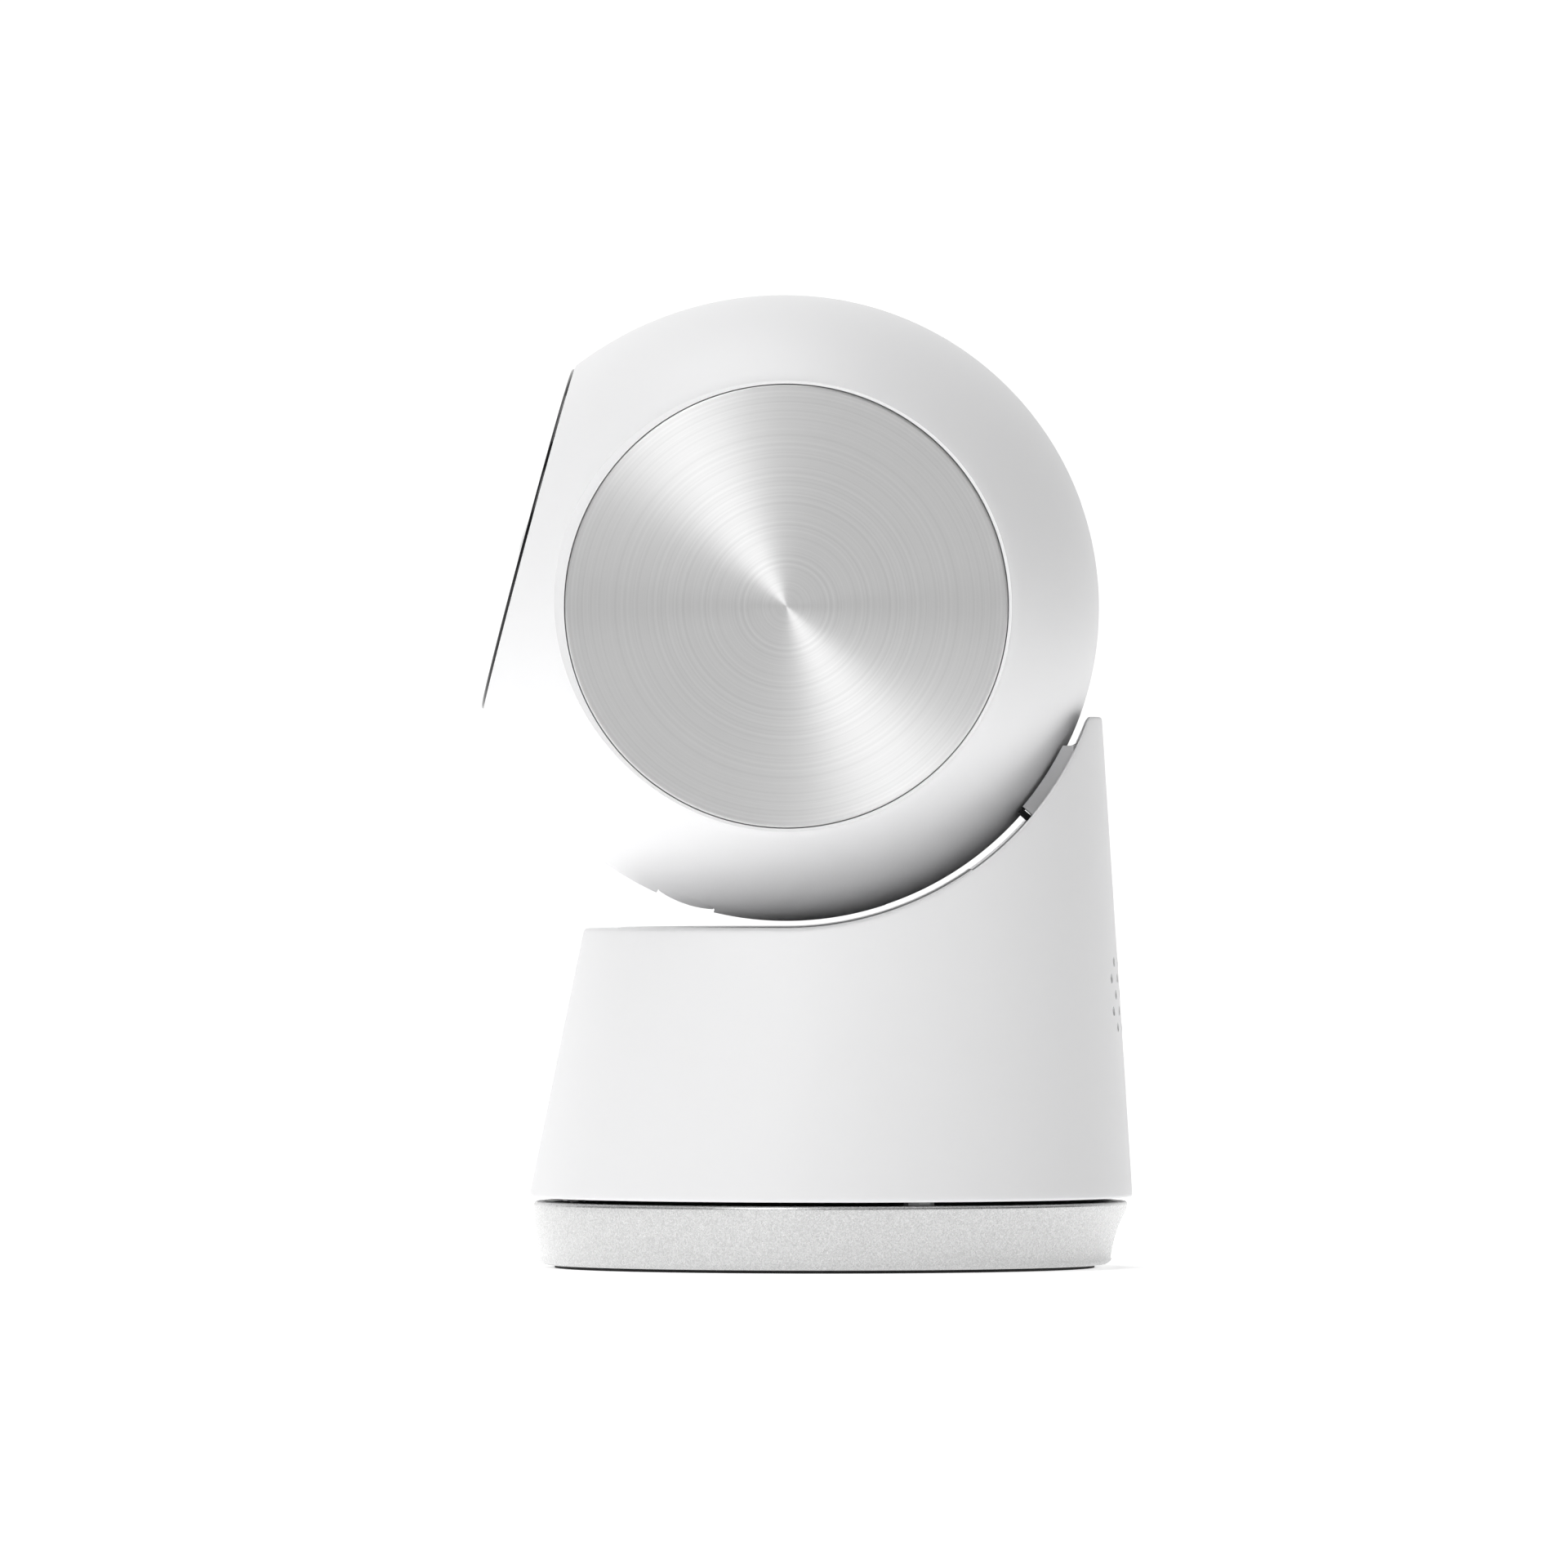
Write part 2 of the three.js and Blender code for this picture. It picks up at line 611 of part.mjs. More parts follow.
place(base, "foot_pad", buildFoot(), "rubber");
place(base, "base_shell", buildBaseShell(), "silver");
place(base, "base_deck", buildDeck(), "black");
place(base, "ballast_plate", buildBallast(), "steel");
place(base, "power_board", buildPowerBoard(), "board");
place(base, "usb_socket_shell", buildSocketShell(), "steel");
place(base, "usb_socket_tongue", buildSocketTongue(), "black");
place(base, "reset_switch", buildResetSwitch(), "chip");
place(base, "reset_button", buildResetButton(), "black");
place(base, "pan_spindle", buildSpindle(), "steel");
place(base, "pan_gear", buildPanGear(), "acetal");
place(base, "pan_bearing", buildBearing(), "steel");
place(base, "pan_clip", buildClip(), "steel");
deckScrewAngles.forEach((angle, i) => place(base, `base_screw_${i + 1}`, deckScrew(angle), "steel"));

// ---- Housing ----

function housingR(z, inset = 0) {
  return HOUSING_R - HOUSING_TAPER * (z - housingBottom) - inset;
}

function housingY(z) {
  return HOUSING_LEAN * (z - housingBottom);
}

function housingCone(inset, low, high) {
  return leaningCone(housingR(low, inset), housingR(high, inset), low, high, housingY(low), housingY(high));
}

function cradlePoint(radius, degrees) {
  return [headY + radius * Math.cos(radians(degrees)), headZ - radius * Math.sin(radians(degrees))];
}

// Everything below the flat deck and the cradle, pushed down by a depth, up to the fin's top.
function underCradle(depth) {
  const radius = cradleR + depth;
  const top = finTop - depth;
  const topAngle = Math.asin((headZ - top) / radius);
  const far = HOUSING_R + HEAD_R;
  const shape = new THREE.Shape();
  shape.moveTo(-far, -1);
  shape.lineTo(far, -1);
  shape.lineTo(far, top);
  shape.lineTo(headY + radius * Math.cos(topAngle), top);
  shape.absarc(headY, headZ, radius, -topAngle, -Math.PI / 2, true);
  shape.lineTo(-far, roofTop - depth);
  return slabX(shape, -far, far, ROUND);
}

function annulusSector(inner, outer, from, to) {
  const shape = new THREE.Shape();
  shape.absarc(headY, headZ, outer, -radians(from), -radians(to), true);
  shape.absarc(headY, headZ, inner, -radians(to), -radians(from), false);
  shape.closePath();
  return shape;
}

// Neck outline: a level top edge that sweeps into the cradle, then round the ball to the lower end.
function neckShape(outer) {
  const start = NECK_TOP - 3;
  const shape = new THREE.Shape();
  const [topY, topZ] = cradlePoint(HEAD_R, NECK_TOP);
  const [endY, endZ] = cradlePoint(cradleR, NECK_TOP - 1.7);
  shape.moveTo(topY - NECK_FILLET, topZ);
  shape.lineTo(topY, topZ);
  shape.quadraticCurveTo(topY + NECK_FILLET * 0.8, topZ, endY, endZ);
  shape.lineTo(...cradlePoint(cradleR + RUN, start));
  shape.lineTo(...cradlePoint(outer, start));
  shape.absarc(headY, headZ, outer, -radians(start), -radians(NECK_BOTTOM), true);
  shape.lineTo(...cradlePoint(HEAD_R - 2, NECK_BOTTOM));
  return shape;
}

const neckReach = cradleR + ROOF + 0.5;
const neckSector = annulusSector(HEAD_R, neckReach + 1, NECK_TOP - 3.5, BOOT_BOTTOM + 0.5);
const neckOpening = slabX(neckSector, -NECK_HALF - RUN, NECK_HALF + RUN);

function ballSpace(clearance) {
  const geometry = new THREE.SphereGeometry(HEAD_R + clearance, BALL, BALL / 2);
  geometry.rotateX(Math.PI / 2);
  geometry.translate(0, headY, headZ);
  return solid(geometry);
}

function speakerHoles() {
  const wallY = housingY(SPEAKER_HEIGHT);
  return HOLE_COUNTS.flatMap((count, row) => {
    const z = SPEAKER_HEIGHT + (row - (HOLE_COUNTS.length - 1) / 2) * HOLE_ROW;
    return Array.from({ length: count }, (_, i) => {
      const angle = (i - (count - 1) / 2) * HOLE_PITCH;
      const hole = barY(HOLE_R, HOUSING_R - 3 * WALL, HOUSING_R + WALL, { segments: 6 });
      return hole.rotate([0, 0, angle]).translate([0, wallY, z]);
    });
  });
}

const floorBossOrbit = housingR(floorTop, WALL) - BOSS_R + 0.4;
const floorBossAngles = [45, 135, -60].map(radians);

function floorBossAt(angle) {
  return {
    x: floorBossOrbit * Math.cos(angle),
    y: housingY(floorTop) + floorBossOrbit * Math.sin(angle),
    segments: SMALL,
  };
}

function floorBoss(angle) {
  const high = floorTop + FLOOR_BOSS_HEIGHT;
  const post = barZ(BOSS_R, floorTop + RUN, high, floorBossAt(angle));
  return post.intersect(housingCone(WALL / 2, floorTop, high + 1));
}

function floorThread(radius) {
  return (angle) => barZ(radius, floorBottom - 1, floorTop + FLOOR_BOSS_HEIGHT - 1, floorBossAt(angle));
}

function lidRegion(margin, endGap) {
  const [endY] = cradlePoint(cradleR, LID_END);
  const far = HOUSING_R + HEAD_R;
  const inside = housingCone(margin, housingBottom, above);
  return inside.intersect(block([-far, far], [-far, endY - endGap], [0, above]));
}

function buildHousing() {
  const outer = housingCone(0, housingBottom, above).intersect(underCradle(0));
  const hollow = housingCone(WALL, housingBottom - 1, above).intersect(underCradle(ROOF));
  const skin = cut(outer, hollow);
  const lidRecess = cut(lidRegion(LID_MARGIN, 0), underCradle(LID_THICK + RUN));
  const lidWindow = lidRegion(LID_MARGIN + LID_LEDGE, LID_LEDGE);
  const neckCut = neckOpening.intersect(housingCone(WALL, roofTop, above));
  const wallFront = housingY(MICROPHONE_HEIGHT) - HOUSING_R;
  const microphoneHole = barY(MICROPHONE_HOLE_R, wallFront - WALL, wallFront + 3 * WALL, {
    z: MICROPHONE_HEIGHT,
    segments: SMALL,
  });
  const roofOnly = block([-above, above], [-above, above], [roofTop - ROOF - 1, above]);
  const windows = [lidWindow.intersect(roofOnly), neckCut, microphoneHole, ...speakerHoles()];
  const open = cut(skin, lidRecess, ...windows);
  const bossed = join(open, ...floorBossAngles.map(floorBoss));
  return cut(bossed, ...floorBossAngles.map(floorThread(SCREW_R + RUN)));
}

function buildLid() {
  const band = cut(underCradle(-LID_PROUD), underCradle(LID_THICK));
  return band.intersect(lidRegion(LID_MARGIN + FINE, FINE));
}

const boardR = housingR(boardBottom, boardInset);
const postOrbit = boardR - BOARD_POST_INSET;
const postAngles = [5, 175].map(radians);

function postAt(angle) {
  const y = housingY(boardBottom) + postOrbit * Math.sin(angle);
  return { x: postOrbit * Math.cos(angle), y, segments: SMALL };
}

const pinionX = panCentres * Math.cos(radians(PAN_MOTOR_ANGLE));
const pinionY = panCentres * Math.sin(radians(PAN_MOTOR_ANGLE));

function buildTurretFloor() {
  const plate = housingCone(WALL + RUN, floorBottom, floorTop);
  const post = (angle) => barZ(BOARD_POST_R, floorBottom + 0.5, boardBottom - RUN, postAt(angle));
  const posts = postAngles.map(post);
  const screws = floorBossAngles.map(floorThread(SCREW_R + RUN));
  const threads = postAngles.map((angle) => barZ(SCREW_R + RUN, boardBottom - 7, boardBottom, postAt(angle)));
  const shaft = barZ(2, floorBottom - 1, floorTop + 1, { x: pinionX, y: pinionY, segments: SMALL });
  const bore = barZ(SPINDLE_R + RUN, floorBottom - 1, floorTop + 1);
  return cut(join(plate, ...posts), bore, shaft, ...screws, ...threads);
}

function buildFloorScrew(angle) {
  const { x, y } = floorBossAt(angle);
  return screwZ(x, y, floorBottom - FINE - SCREW_HEAD, FLOOR_BOSS_HEIGHT - 1.5);
}

function buildPanMotor() {
  const at = { x: pinionX, y: pinionY };
  const can = barZ(PAN_MOTOR_R, floorTop + RUN, floorTop + RUN + PAN_MOTOR_HEIGHT, at);
  const reach = PAN_MOTOR_R + EAR_REACH;
  const ears = block([-reach, reach], [-EAR_HALF, EAR_HALF], [floorTop + RUN, floorTop + RUN + EAR_THICK]);
  return can.add(ears.rotate([0, 0, PAN_MOTOR_ANGLE + 90]).translate([pinionX, pinionY, 0]));
}

function buildPanPinion() {
  const shape = gearShape(PINION_TEETH, PAN_MODULE, meshPhase(radians(PAN_MOTOR_ANGLE)));
  const wheel = slabZ(shape, gearBottom + RUN, gearTop - RUN).translate([pinionX, pinionY, 0]);
  return wheel.add(barZ(SHAFT_R, gearTop - 1, floorTop, { x: pinionX, y: pinionY, segments: SMALL }));
}

function buildMainBoard() {
  const plate = housingCone(boardInset, boardBottom, boardTop).intersect(
    block([-above, above], [-above, mastFront - 1.5], [0, above]),
  );
  const hole = (angle) => barZ(SCREW_R + RUN, boardBottom - 1, boardTop + 1, postAt(angle));
  return cut(plate, ...postAngles.map(hole));
}

function buildBoardScrew(angle) {
  const { x, y } = postAt(angle);
  const head = barZ(SCREW_HEAD_R, boardTop + FINE, boardTop + FINE + SCREW_HEAD, { x, y, segments: SMALL });
  return head.add(barZ(SCREW_R, boardBottom - 5, boardTop + 0.5, { x, y, segments: SMALL }));
}

function buildHeatSink() {
  const half = HEAT_SINK_SIZE / 2;
  const along = [-half - HEAT_SINK_AHEAD, half - HEAT_SINK_AHEAD];
  const bottom = boardTop + RUN;
  const plate = block([-half, half], along, [bottom, bottom + HEAT_SINK_PLATE]);
  const fins = Array.from({ length: COOLING_FINS }, (_, i) => {
    const x = -half + (i * (HEAT_SINK_SIZE - COOLING_FIN_THICK)) / (COOLING_FINS - 1);
    const up = [bottom + HEAT_SINK_PLATE / 2, bottom + HEAT_SINK_HEIGHT];
    return block([x, x + COOLING_FIN_THICK], along, up);
  });
  return join(plate, ...fins);
}

const speakerSeatR = housingR(SPEAKER_HEIGHT + SPEAKER_R, WALL);
const speakerFace = housingY(SPEAKER_HEIGHT) + Math.sqrt(speakerSeatR ** 2 - SPEAKER_R ** 2) - SPEAKER_GAP;

function buildSpeaker() {
  const back = speakerFace - SPEAKER_DEPTH;
  const at = { z: SPEAKER_HEIGHT };
  const rim = barY(SPEAKER_R, speakerFace - SPEAKER_RIM, speakerFace, at);
  const cup = barY(SPEAKER_R, back, speakerFace - SPEAKER_RIM + 0.1, { ...at, front: SPEAKER_R * 0.6 });
  const dish = barY(SPEAKER_R - SPEAKER_EDGE, speakerFace - SPEAKER_RIM - 0.2, speakerFace + 1, at);
  return cut(rim.add(cup), dish);
}

function buildMicrophone() {
  const wall = housingY(MICROPHONE_HEIGHT) - housingR(MICROPHONE_HEIGHT + 3, WALL);
  const front = wall + 0.5;
  return barY(MICROPHONE_R, front, front + MICROPHONE_LENGTH, { z: MICROPHONE_HEIGHT, segments: SMALL });
}

place(turret, "housing_shell", buildHousing(), "white");
place(turret, "cradle_cover", buildLid(), "white");
place(turret, "speaker", buildSpeaker(), "black");
place(turret, "microphone", buildMicrophone(), "chip");
place(turret, "turret_floor", buildTurretFloor(), "black");
floorBossAngles.forEach((angle, i) => place(turret, `floor_screw_${i + 1}`, buildFloorScrew(angle), "steel"));
place(turret, "pan_motor", buildPanMotor(), "steel");
place(turret, "pan_pinion", buildPanPinion(), "acetal");
place(turret, "pan_cable", barZ(CABLE_R, deckBottom, boardBottom - RUN, { segments: SMALL }), "rubber");

// ---- Neck and tilt arm ----

const mastFront = housingY(roofTop) + MAST_DEPTH;
const mastRear = mastFront + MAST_DEPTH;

// Bar from the head's middle down and back, between two radii.
function armBar(half, inner, outer) {
  const angle = radians(ARM_ANGLE);
  const along = [Math.cos(angle), -Math.sin(angle)];
  const across = [Math.sin(angle), Math.cos(angle)];
  const corner = (r, h) => [headY + r * along[0] + h * across[0], headZ + r * along[1] + h * across[1]];
  return polygon([corner(inner, half), corner(inner, -half), corner(outer, -half), corner(outer, half)]);
}

function buildNeckCover() {
  const body = slabX(neckShape(neckReach), -NECK_HALF, NECK_HALF);
  const passage = slabX(armBar(ARM_HALF_WIDTH + RUN, 0, above), -ARM_HALF_THICK - RUN, ARM_HALF_THICK + RUN);
  return cut(body.intersect(housingCone(WALL + RUN, roofTop, above)), ballSpace(0.5), passage);
}

function buildBoot() {
  const sector = annulusSector(HEAD_R - 3, neckReach - RUN, NECK_BOTTOM + 0.3, BOOT_BOTTOM);
  return cut(slabX(sector, -NECK_HALF + 0.5, NECK_HALF - 0.5, 2), ballSpace(0.45));
}

function buildArm() {
  const thick = [-ARM_HALF_THICK, ARM_HALF_THICK];
  const reach = neckReach + 2;
  const limb = slabX(armBar(ARM_HALF_WIDTH, 0, reach), ...thick);
  const hub = barX(HUB_R, ...thick, { y: headY, z: headZ });
  const bend = slabX(annulusSector(neckReach + RUN, neckReach + 4, ARM_ANGLE, 62), ...thick);
  const mast = block(thick, [mastFront, mastRear], [floorTop + RUN, roofTop - ROOF - 1]);
  const below = slabX(annulusSector(neckReach + RUN, 2 * neckReach, 45, 89), ...thick);
  const shoulder = block(thick, [mastFront, mastRear], [floorTop + RUN, headZ]).intersect(below);
  const foot = block([-9, 9], [mastFront, mastRear], [floorTop + RUN, floorTop + RUN + 2]);
  const room = housingCone(WALL + RUN, floorBottom, 2 * above);
  const body = join(limb, hub, bend, mast, shoulder, foot).intersect(room);
  return cut(body, barX(AXLE_R + TILT_PLAY, -9, 9, { y: headY, z: headZ }));
}

function buildTiltGear() {
  const wheel = slabX(gearShape(TILT_GEAR_TEETH, TILT_MODULE, Math.PI / 2), gearInner, gearOuter);
  return cut(wheel, barX(AXLE_R + RUN, 0, 9));
}

place(turret, "neck_cover", buildNeckCover(), "white");
place(turret, "neck_boot", buildBoot(), "rubber");
place(turret, "tilt_arm", buildArm(), "steel");
place(turret, "main_board", buildMainBoard(), "board");
place(turret, "heat_sink", buildHeatSink(), "steel");
postAngles.forEach((angle, i) => place(turret, `board_screw_${i + 1}`, buildBoardScrew(angle), "steel"));
place(tiltFrame, "tilt_gear", buildTiltGear(), "acetal");
place(tiltFrame, "tilt_axle", barX(AXLE_R, -cheekOuter - 1, cheekOuter + 1), "steel");

// ---- Head, in its own frame: the ball's centre at the origin and the face towards -Y ----

const frontOffset = HEAD_R - frontR;
const frontCentre = [
  frontOffset * Math.sin(radians(FRONT_START)),
  frontOffset * Math.cos(radians(FRONT_START)),
];

// Ball profile from the rear pole to the flat face, moved inwards by an inset and closed at a plane.
function ballProfile(inset, plane, step) {
  const points = [new THREE.Vector2(0, -(HEAD_R - inset))];
  for (let angle = 180 - step; angle > FRONT_START + step / 2; angle -= step) {
    const at = radians(angle);
    points.push(new THREE.Vector2((HEAD_R - inset) * Math.sin(at), (HEAD_R - inset) * Math.cos(at)));
  }
  const last = Math.acos((plane - frontCentre[1]) / (frontR - inset));
  const steps = Math.ceil((radians(FRONT_START) - last) / radians(step));
  for (let i = 0; i <= steps; i++) {
    const at = radians(FRONT_START) + ((last - radians(FRONT_START)) * i) / steps;
    points.push(
      new THREE.Vector2(
        frontCentre[0] + (frontR - inset) * Math.sin(at),
        frontCentre[1] + (frontR - inset) * Math.cos(at),
      ),
    );
  }
  points.push(new THREE.Vector2(0, plane));
  return points;
}

function ball(inset, plane, step = 9, segments = BALL) {
  const geometry = new THREE.LatheGeometry(ballProfile(inset, plane, step), segments);
  geometry.rotateX(Math.PI);
  return solid(geometry);
}

const faceRimR = frontCentre[0] + frontR * Math.sin(Math.acos((faceDistance - frontCentre[1]) / frontR));
const glassR = faceRimR - GLASS_RIM;
const headBossAngles = [62, 125, 235, 290].map(radians);

function bossPlace(angle) {
  return { y: headBossOrbit * Math.cos(angle), z: headBossOrbit * Math.sin(angle), segments: SMALL };
}

function doorTool(grow, inner, outer) {
  const shape = racetrack(DOOR_WIDTH + 2 * grow, DOOR_LENGTH + 2 * grow);
  return slabZ(shape, inner, outer, 6).rotate([270 - DOOR_ANGLE, 0, 0]);
}

// Slot that the tilt arm passes through at every tilt.
function armSlot() {
  const half = THREE.MathUtils.radToDeg(Math.asin(ARM_HALF_WIDTH / (HEAD_R - HEAD_WALL))) + 2;
  const from = -radians(ARM_ANGLE - FACE_PITCH - TILT_UP - half);
  const to = -radians(ARM_ANGLE - FACE_PITCH + TILT_DOWN + half);
  const inner = HEAD_R - 4 * HEAD_WALL;
  const shape = new THREE.Shape();
  shape.absarc(0, 0, HEAD_R + 2, from, to, true);
  shape.absarc(0, 0, inner, to, from, false);
  shape.closePath();
  return slabX(shape, -ARM_HALF_THICK - RUN - 0.1, ARM_HALF_THICK + RUN + 0.1);
}

function headCavity() {
  const far = 2 * HEAD_R;
  return ball(HEAD_WALL, lipBack, 14, 28).intersect(block([-hollowX, hollowX], [-far, far], [-far, far]));
}

function headBosses(side) {
  const ends = side > 0 ? [SEAM / 2, hollowX + 0.5] : [-hollowX - 0.5, -SEAM / 2];
  return headBossAngles.map((angle) => barX(BOSS_R + 0.4, ...ends, bossPlace(angle)));
}

// The left half takes the screw heads down deep bores; the right half takes their threads.
function buildHeadShell(side) {
  const far = 2 * HEAD_R;
  const half = side > 0 ? [SEAM / 2, sideX] : [-sideX, -SEAM / 2];
  const body = ball(0, faceDistance).intersect(block(half, [-far, far], [-far, far]));
  const recess = side > 0 ? [ledgeX, far] : [-far, -ledgeX];
  const glassSeat = barY(glassR + FINE, -far, -lipFront, { segments: BALL });
  const window = barY(glassR - GLASS_LIP, -far, -lipBack + 1, { segments: BALL });
  const access = barX(headBossOrbit - BOSS_R - 1.2, ...(side > 0 ? [0, far] : [-far, 0]), { segments: 48 });
  const wall = block(side > 0 ? [hollowX - 0.5, far] : [-far, -hollowX + 0.5], [-far, far], [-far, far]);
  const open = cut(
    body,
    headCavity(),
    barX(discR + FINE, ...recess, { segments: RIM }),
    glassSeat,
    window,
    access.intersect(wall),
    armSlot(),
    doorTool(0, HEAD_R / 2, 2 * HEAD_R),
  );
  const bored = headBossAngles.map((angle) => {
    const at = bossPlace(angle);
    return side > 0
      ? barX(SCREW_R + RUN, -1, 9, at).add(barX(SCREW_HEAD_R + RUN, 6, far, at))
      : barX(SCREW_R + RUN, -9, 1, at);
  });
  return cut(join(open, ...headBosses(side)), ...bored);
}

function buildHeadScrew(angle) {
  const at = bossPlace(angle);
  const seat = 6 + FINE;
  return barX(SCREW_HEAD_R, seat, seat + SCREW_HEAD, at).add(barX(SCREW_R, -7, seat + 0.5, at));
}

function buildDisc(side) {
  const ends = [discInner, sideX + DISC_PROUD].map((x) => x * side).sort((a, b) => a - b);
  return barX(discR, ...ends, { segments: BALL });
}

function lensBar(radius, back, front, options = {}) {
  return barY(radius, -front, -back, { z: -LENS_DROP, ...options });
}

function buildGlass() {
  const plate = barY(glassR, -glassFront, -glassBack, { segments: BALL });
  return cut(plate, lensBar(LENS_R + FINE, glassBack - 1, glassFront + 1));
}

// Cap of a sphere on a short tube, turned about the lens axis.
function capProfile(radius, height, rim, back) {
  const capR = (radius ** 2 + height ** 2) / (2 * height);
  const points = [new THREE.Vector2(0, back), new THREE.Vector2(radius, back)];
  const steps = 4;
  for (let i = 0; i < steps; i++) {
    const r = radius * (1 - i / steps);
    points.push(new THREE.Vector2(r, rim + height - capR + Math.sqrt(capR ** 2 - r ** 2)));
  }
  points.push(new THREE.Vector2(0, rim + height));
  return points;
}

function turnedCap(radius, height, rim, back) {
  const geometry = new THREE.LatheGeometry(capProfile(radius, height, rim, back), ROUND - 6);
  geometry.rotateX(Math.PI);
  geometry.translate(0, 0, -LENS_DROP);
  return solid(geometry);
}

const domeBack = glassBack - 0.2;

function buildDome() {
  const inner = turnedCap(LENS_R - 2 * LENS_SKIN, LENS_HEIGHT - 0.15, glassFront - 0.1, domeBack - 1);
  return cut(turnedCap(LENS_R, LENS_HEIGHT, glassFront, domeBack), inner);
}

const boardFront = CHASSIS_AHEAD + CHASSIS_THICK + 2 * RUN + 1;
const sensorTop = boardFront + RUN + SENSOR_THICK;
const ledBoardBack = lipBack - 1.6;

// Range in Z of something as far above as below the lens axis.
function lensSpan(half) {
  return [-half - LENS_DROP, half - LENS_DROP];
}

function buildBarrel() {
  const back = boardFront + RUN;
  const thick = (ledBoardBack - boardFront) / 3;
  const flange = block([-BARREL_FLANGE, BARREL_FLANGE], [-back - thick, -back], lensSpan(BARREL_FLANGE));
  const tube = lensBar(BARREL_R, back, domeBack - RUN);
  const side = SENSOR_HALF + RUN + 0.2;
  const room = block([-side, side], [-sensorTop - RUN, 0], lensSpan(side));
  return cut(flange.add(tube), room, lensBar(ELEMENT_R + RUN, 0, glassFront + 1));
}

function buildSensorBoard() {
  const across = [-SENSOR_BOARD_HALF, SENSOR_BOARD_HALF];
  return block(across, [-boardFront, -boardFront + SMALL_BOARD_THICK], across);
}

function buildSensor() {
  return block([-SENSOR_HALF, SENSOR_HALF], [-sensorTop, -boardFront - RUN], lensSpan(SENSOR_HALF));
}

function buildLedBoard() {
  const ring = barY(glassR - GLASS_LIP - 0.5, -ledBoardBack - 1, -ledBoardBack);
  return cut(ring, lensBar(BARREL_R + RUN, 0, glassFront));
}

function buildLed(index) {
  const angle = (2 * Math.PI * index) / LED_COUNT;
  const at = { x: LED_ORBIT * Math.cos(angle), z: LED_ORBIT * Math.sin(angle), segments: SMALL };
  return barY(LED_R, -glassBack + RUN, -ledBoardBack - 1 - RUN, at);
}

function buildChassis() {
  const cross = [-CHASSIS_AHEAD - CHASSIS_THICK, -CHASSIS_AHEAD];
  const wing = block([-hollowX + RUN, hollowX - RUN], cross, [-8, 8]);
  const middle = block([-14, 14], cross, [-14, 14]);
  const reach = BUSH_R + 3;
  const cheek = (...across) =>
    join(
      block(across, [-CHASSIS_AHEAD - 1, reach], [-reach, reach]),
      block(across, [-reach, reach], [0, tiltCentres + 4]),
    );
  const body = join(wing, middle, cheek(cheekInner, cheekOuter), cheek(-cheekOuter, -cheekInner));
  const bore = barX(BUSH_R + FINE, -cheekOuter - 1, cheekOuter + 1, { segments: 24 });
  return cut(body, bore, barX(2, cheekInner - 1, cheekOuter + 1, { z: tiltCentres, segments: SMALL }));
}

function buildBush(side) {
  const ends = [cheekInner, cheekOuter].map((x) => x * side).sort((a, b) => a - b);
  const ring = barX(BUSH_R, ...ends, { segments: 24 });
  return cut(ring, barX(AXLE_R + TILT_PLAY, -above, above));
}

function buildTiltPinion() {
  const shape = gearShape(PINION_TEETH, TILT_MODULE, meshPhase(Math.PI / 2));
  const wheel = slabX(shape, gearInner + FINE, gearOuter - FINE).translate([0, 0, tiltCentres]);
  return wheel.add(barX(SHAFT_R, gearOuter - 1, cheekOuter, { z: tiltCentres, segments: SMALL }));
}

function buildTiltMotor() {
  const start = cheekOuter + RUN;
  const ear = TILT_MOTOR_R + EAR_REACH;
  return barX(TILT_MOTOR_R, start, start + TILT_MOTOR_LENGTH, { z: tiltCentres }).add(
    block([start, start + EAR_THICK], [-ear, ear], [tiltCentres - EAR_HALF, tiltCentres + EAR_HALF]),
  );
}

function buildDoor() {
  const plug = doorTool(-RUN, HEAD_R / 2, 2 * HEAD_R).intersect(ball(0.05, faceDistance));
  const edge = 1 - DOOR_LENGTH / 2;
  const notch = block([-0.8, 0.8], [edge - 1, edge + 1], [HEAD_R - 0.5, HEAD_R + 1]);
  return cut(plug, ball(DOOR_THICK, lipBack), notch.rotate([270 - DOOR_ANGLE, 0, 0]));
}

const cardTop = -HEAD_R / 2 + 2;
const cardBottom = -HEAD_R + HEAD_WALL + 3;

function buildCardSocket() {
  const body = block([-7.5, 7.5], [-1, 1.3], [cardBottom, cardTop - 1]);
  return cut(body, block([-5.7, 5.7], [-0.4, 0.7], [cardBottom - 1, cardTop - 2.5]));
}

place(head, "head_shell_left", buildHeadShell(1), "white");
place(head, "head_shell_right", buildHeadShell(-1), "white");
place(head, "side_disc_left", buildDisc(1), "turned");
place(head, "side_disc_right", buildDisc(-1), "turned");
headBossAngles.forEach((angle, i) => place(head, `head_screw_${i + 1}`, buildHeadScrew(angle), "steel"));
place(head, "face_glass", buildGlass(), "gloss");
place(head, "lens_dome", buildDome(), "clear");
place(head, "lens_element", turnedCap(ELEMENT_R, ELEMENT_HEIGHT, glassFront, glassFront - 6), "coated");
place(head, "lens_barrel", buildBarrel(), "black");
place(head, "sensor_board", buildSensorBoard(), "board");
place(head, "image_sensor", buildSensor(), "chip");
place(head, "led_board", buildLedBoard(), "board");
for (let i = 0; i < LED_COUNT; i++) place(head, `infrared_led_${i + 1}`, buildLed(i), "chip");
place(head, "head_chassis", buildChassis(), "black");
place(head, "tilt_bush_left", buildBush(1), "acetal");
place(head, "tilt_bush_right", buildBush(-1), "acetal");
place(head, "tilt_motor", buildTiltMotor(), "steel");
place(head, "tilt_pinion", buildTiltPinion(), "acetal");
place(head, "card_door", buildDoor(), "white");
place(head, "card_socket", buildCardSocket(), "steel");

export default camera;
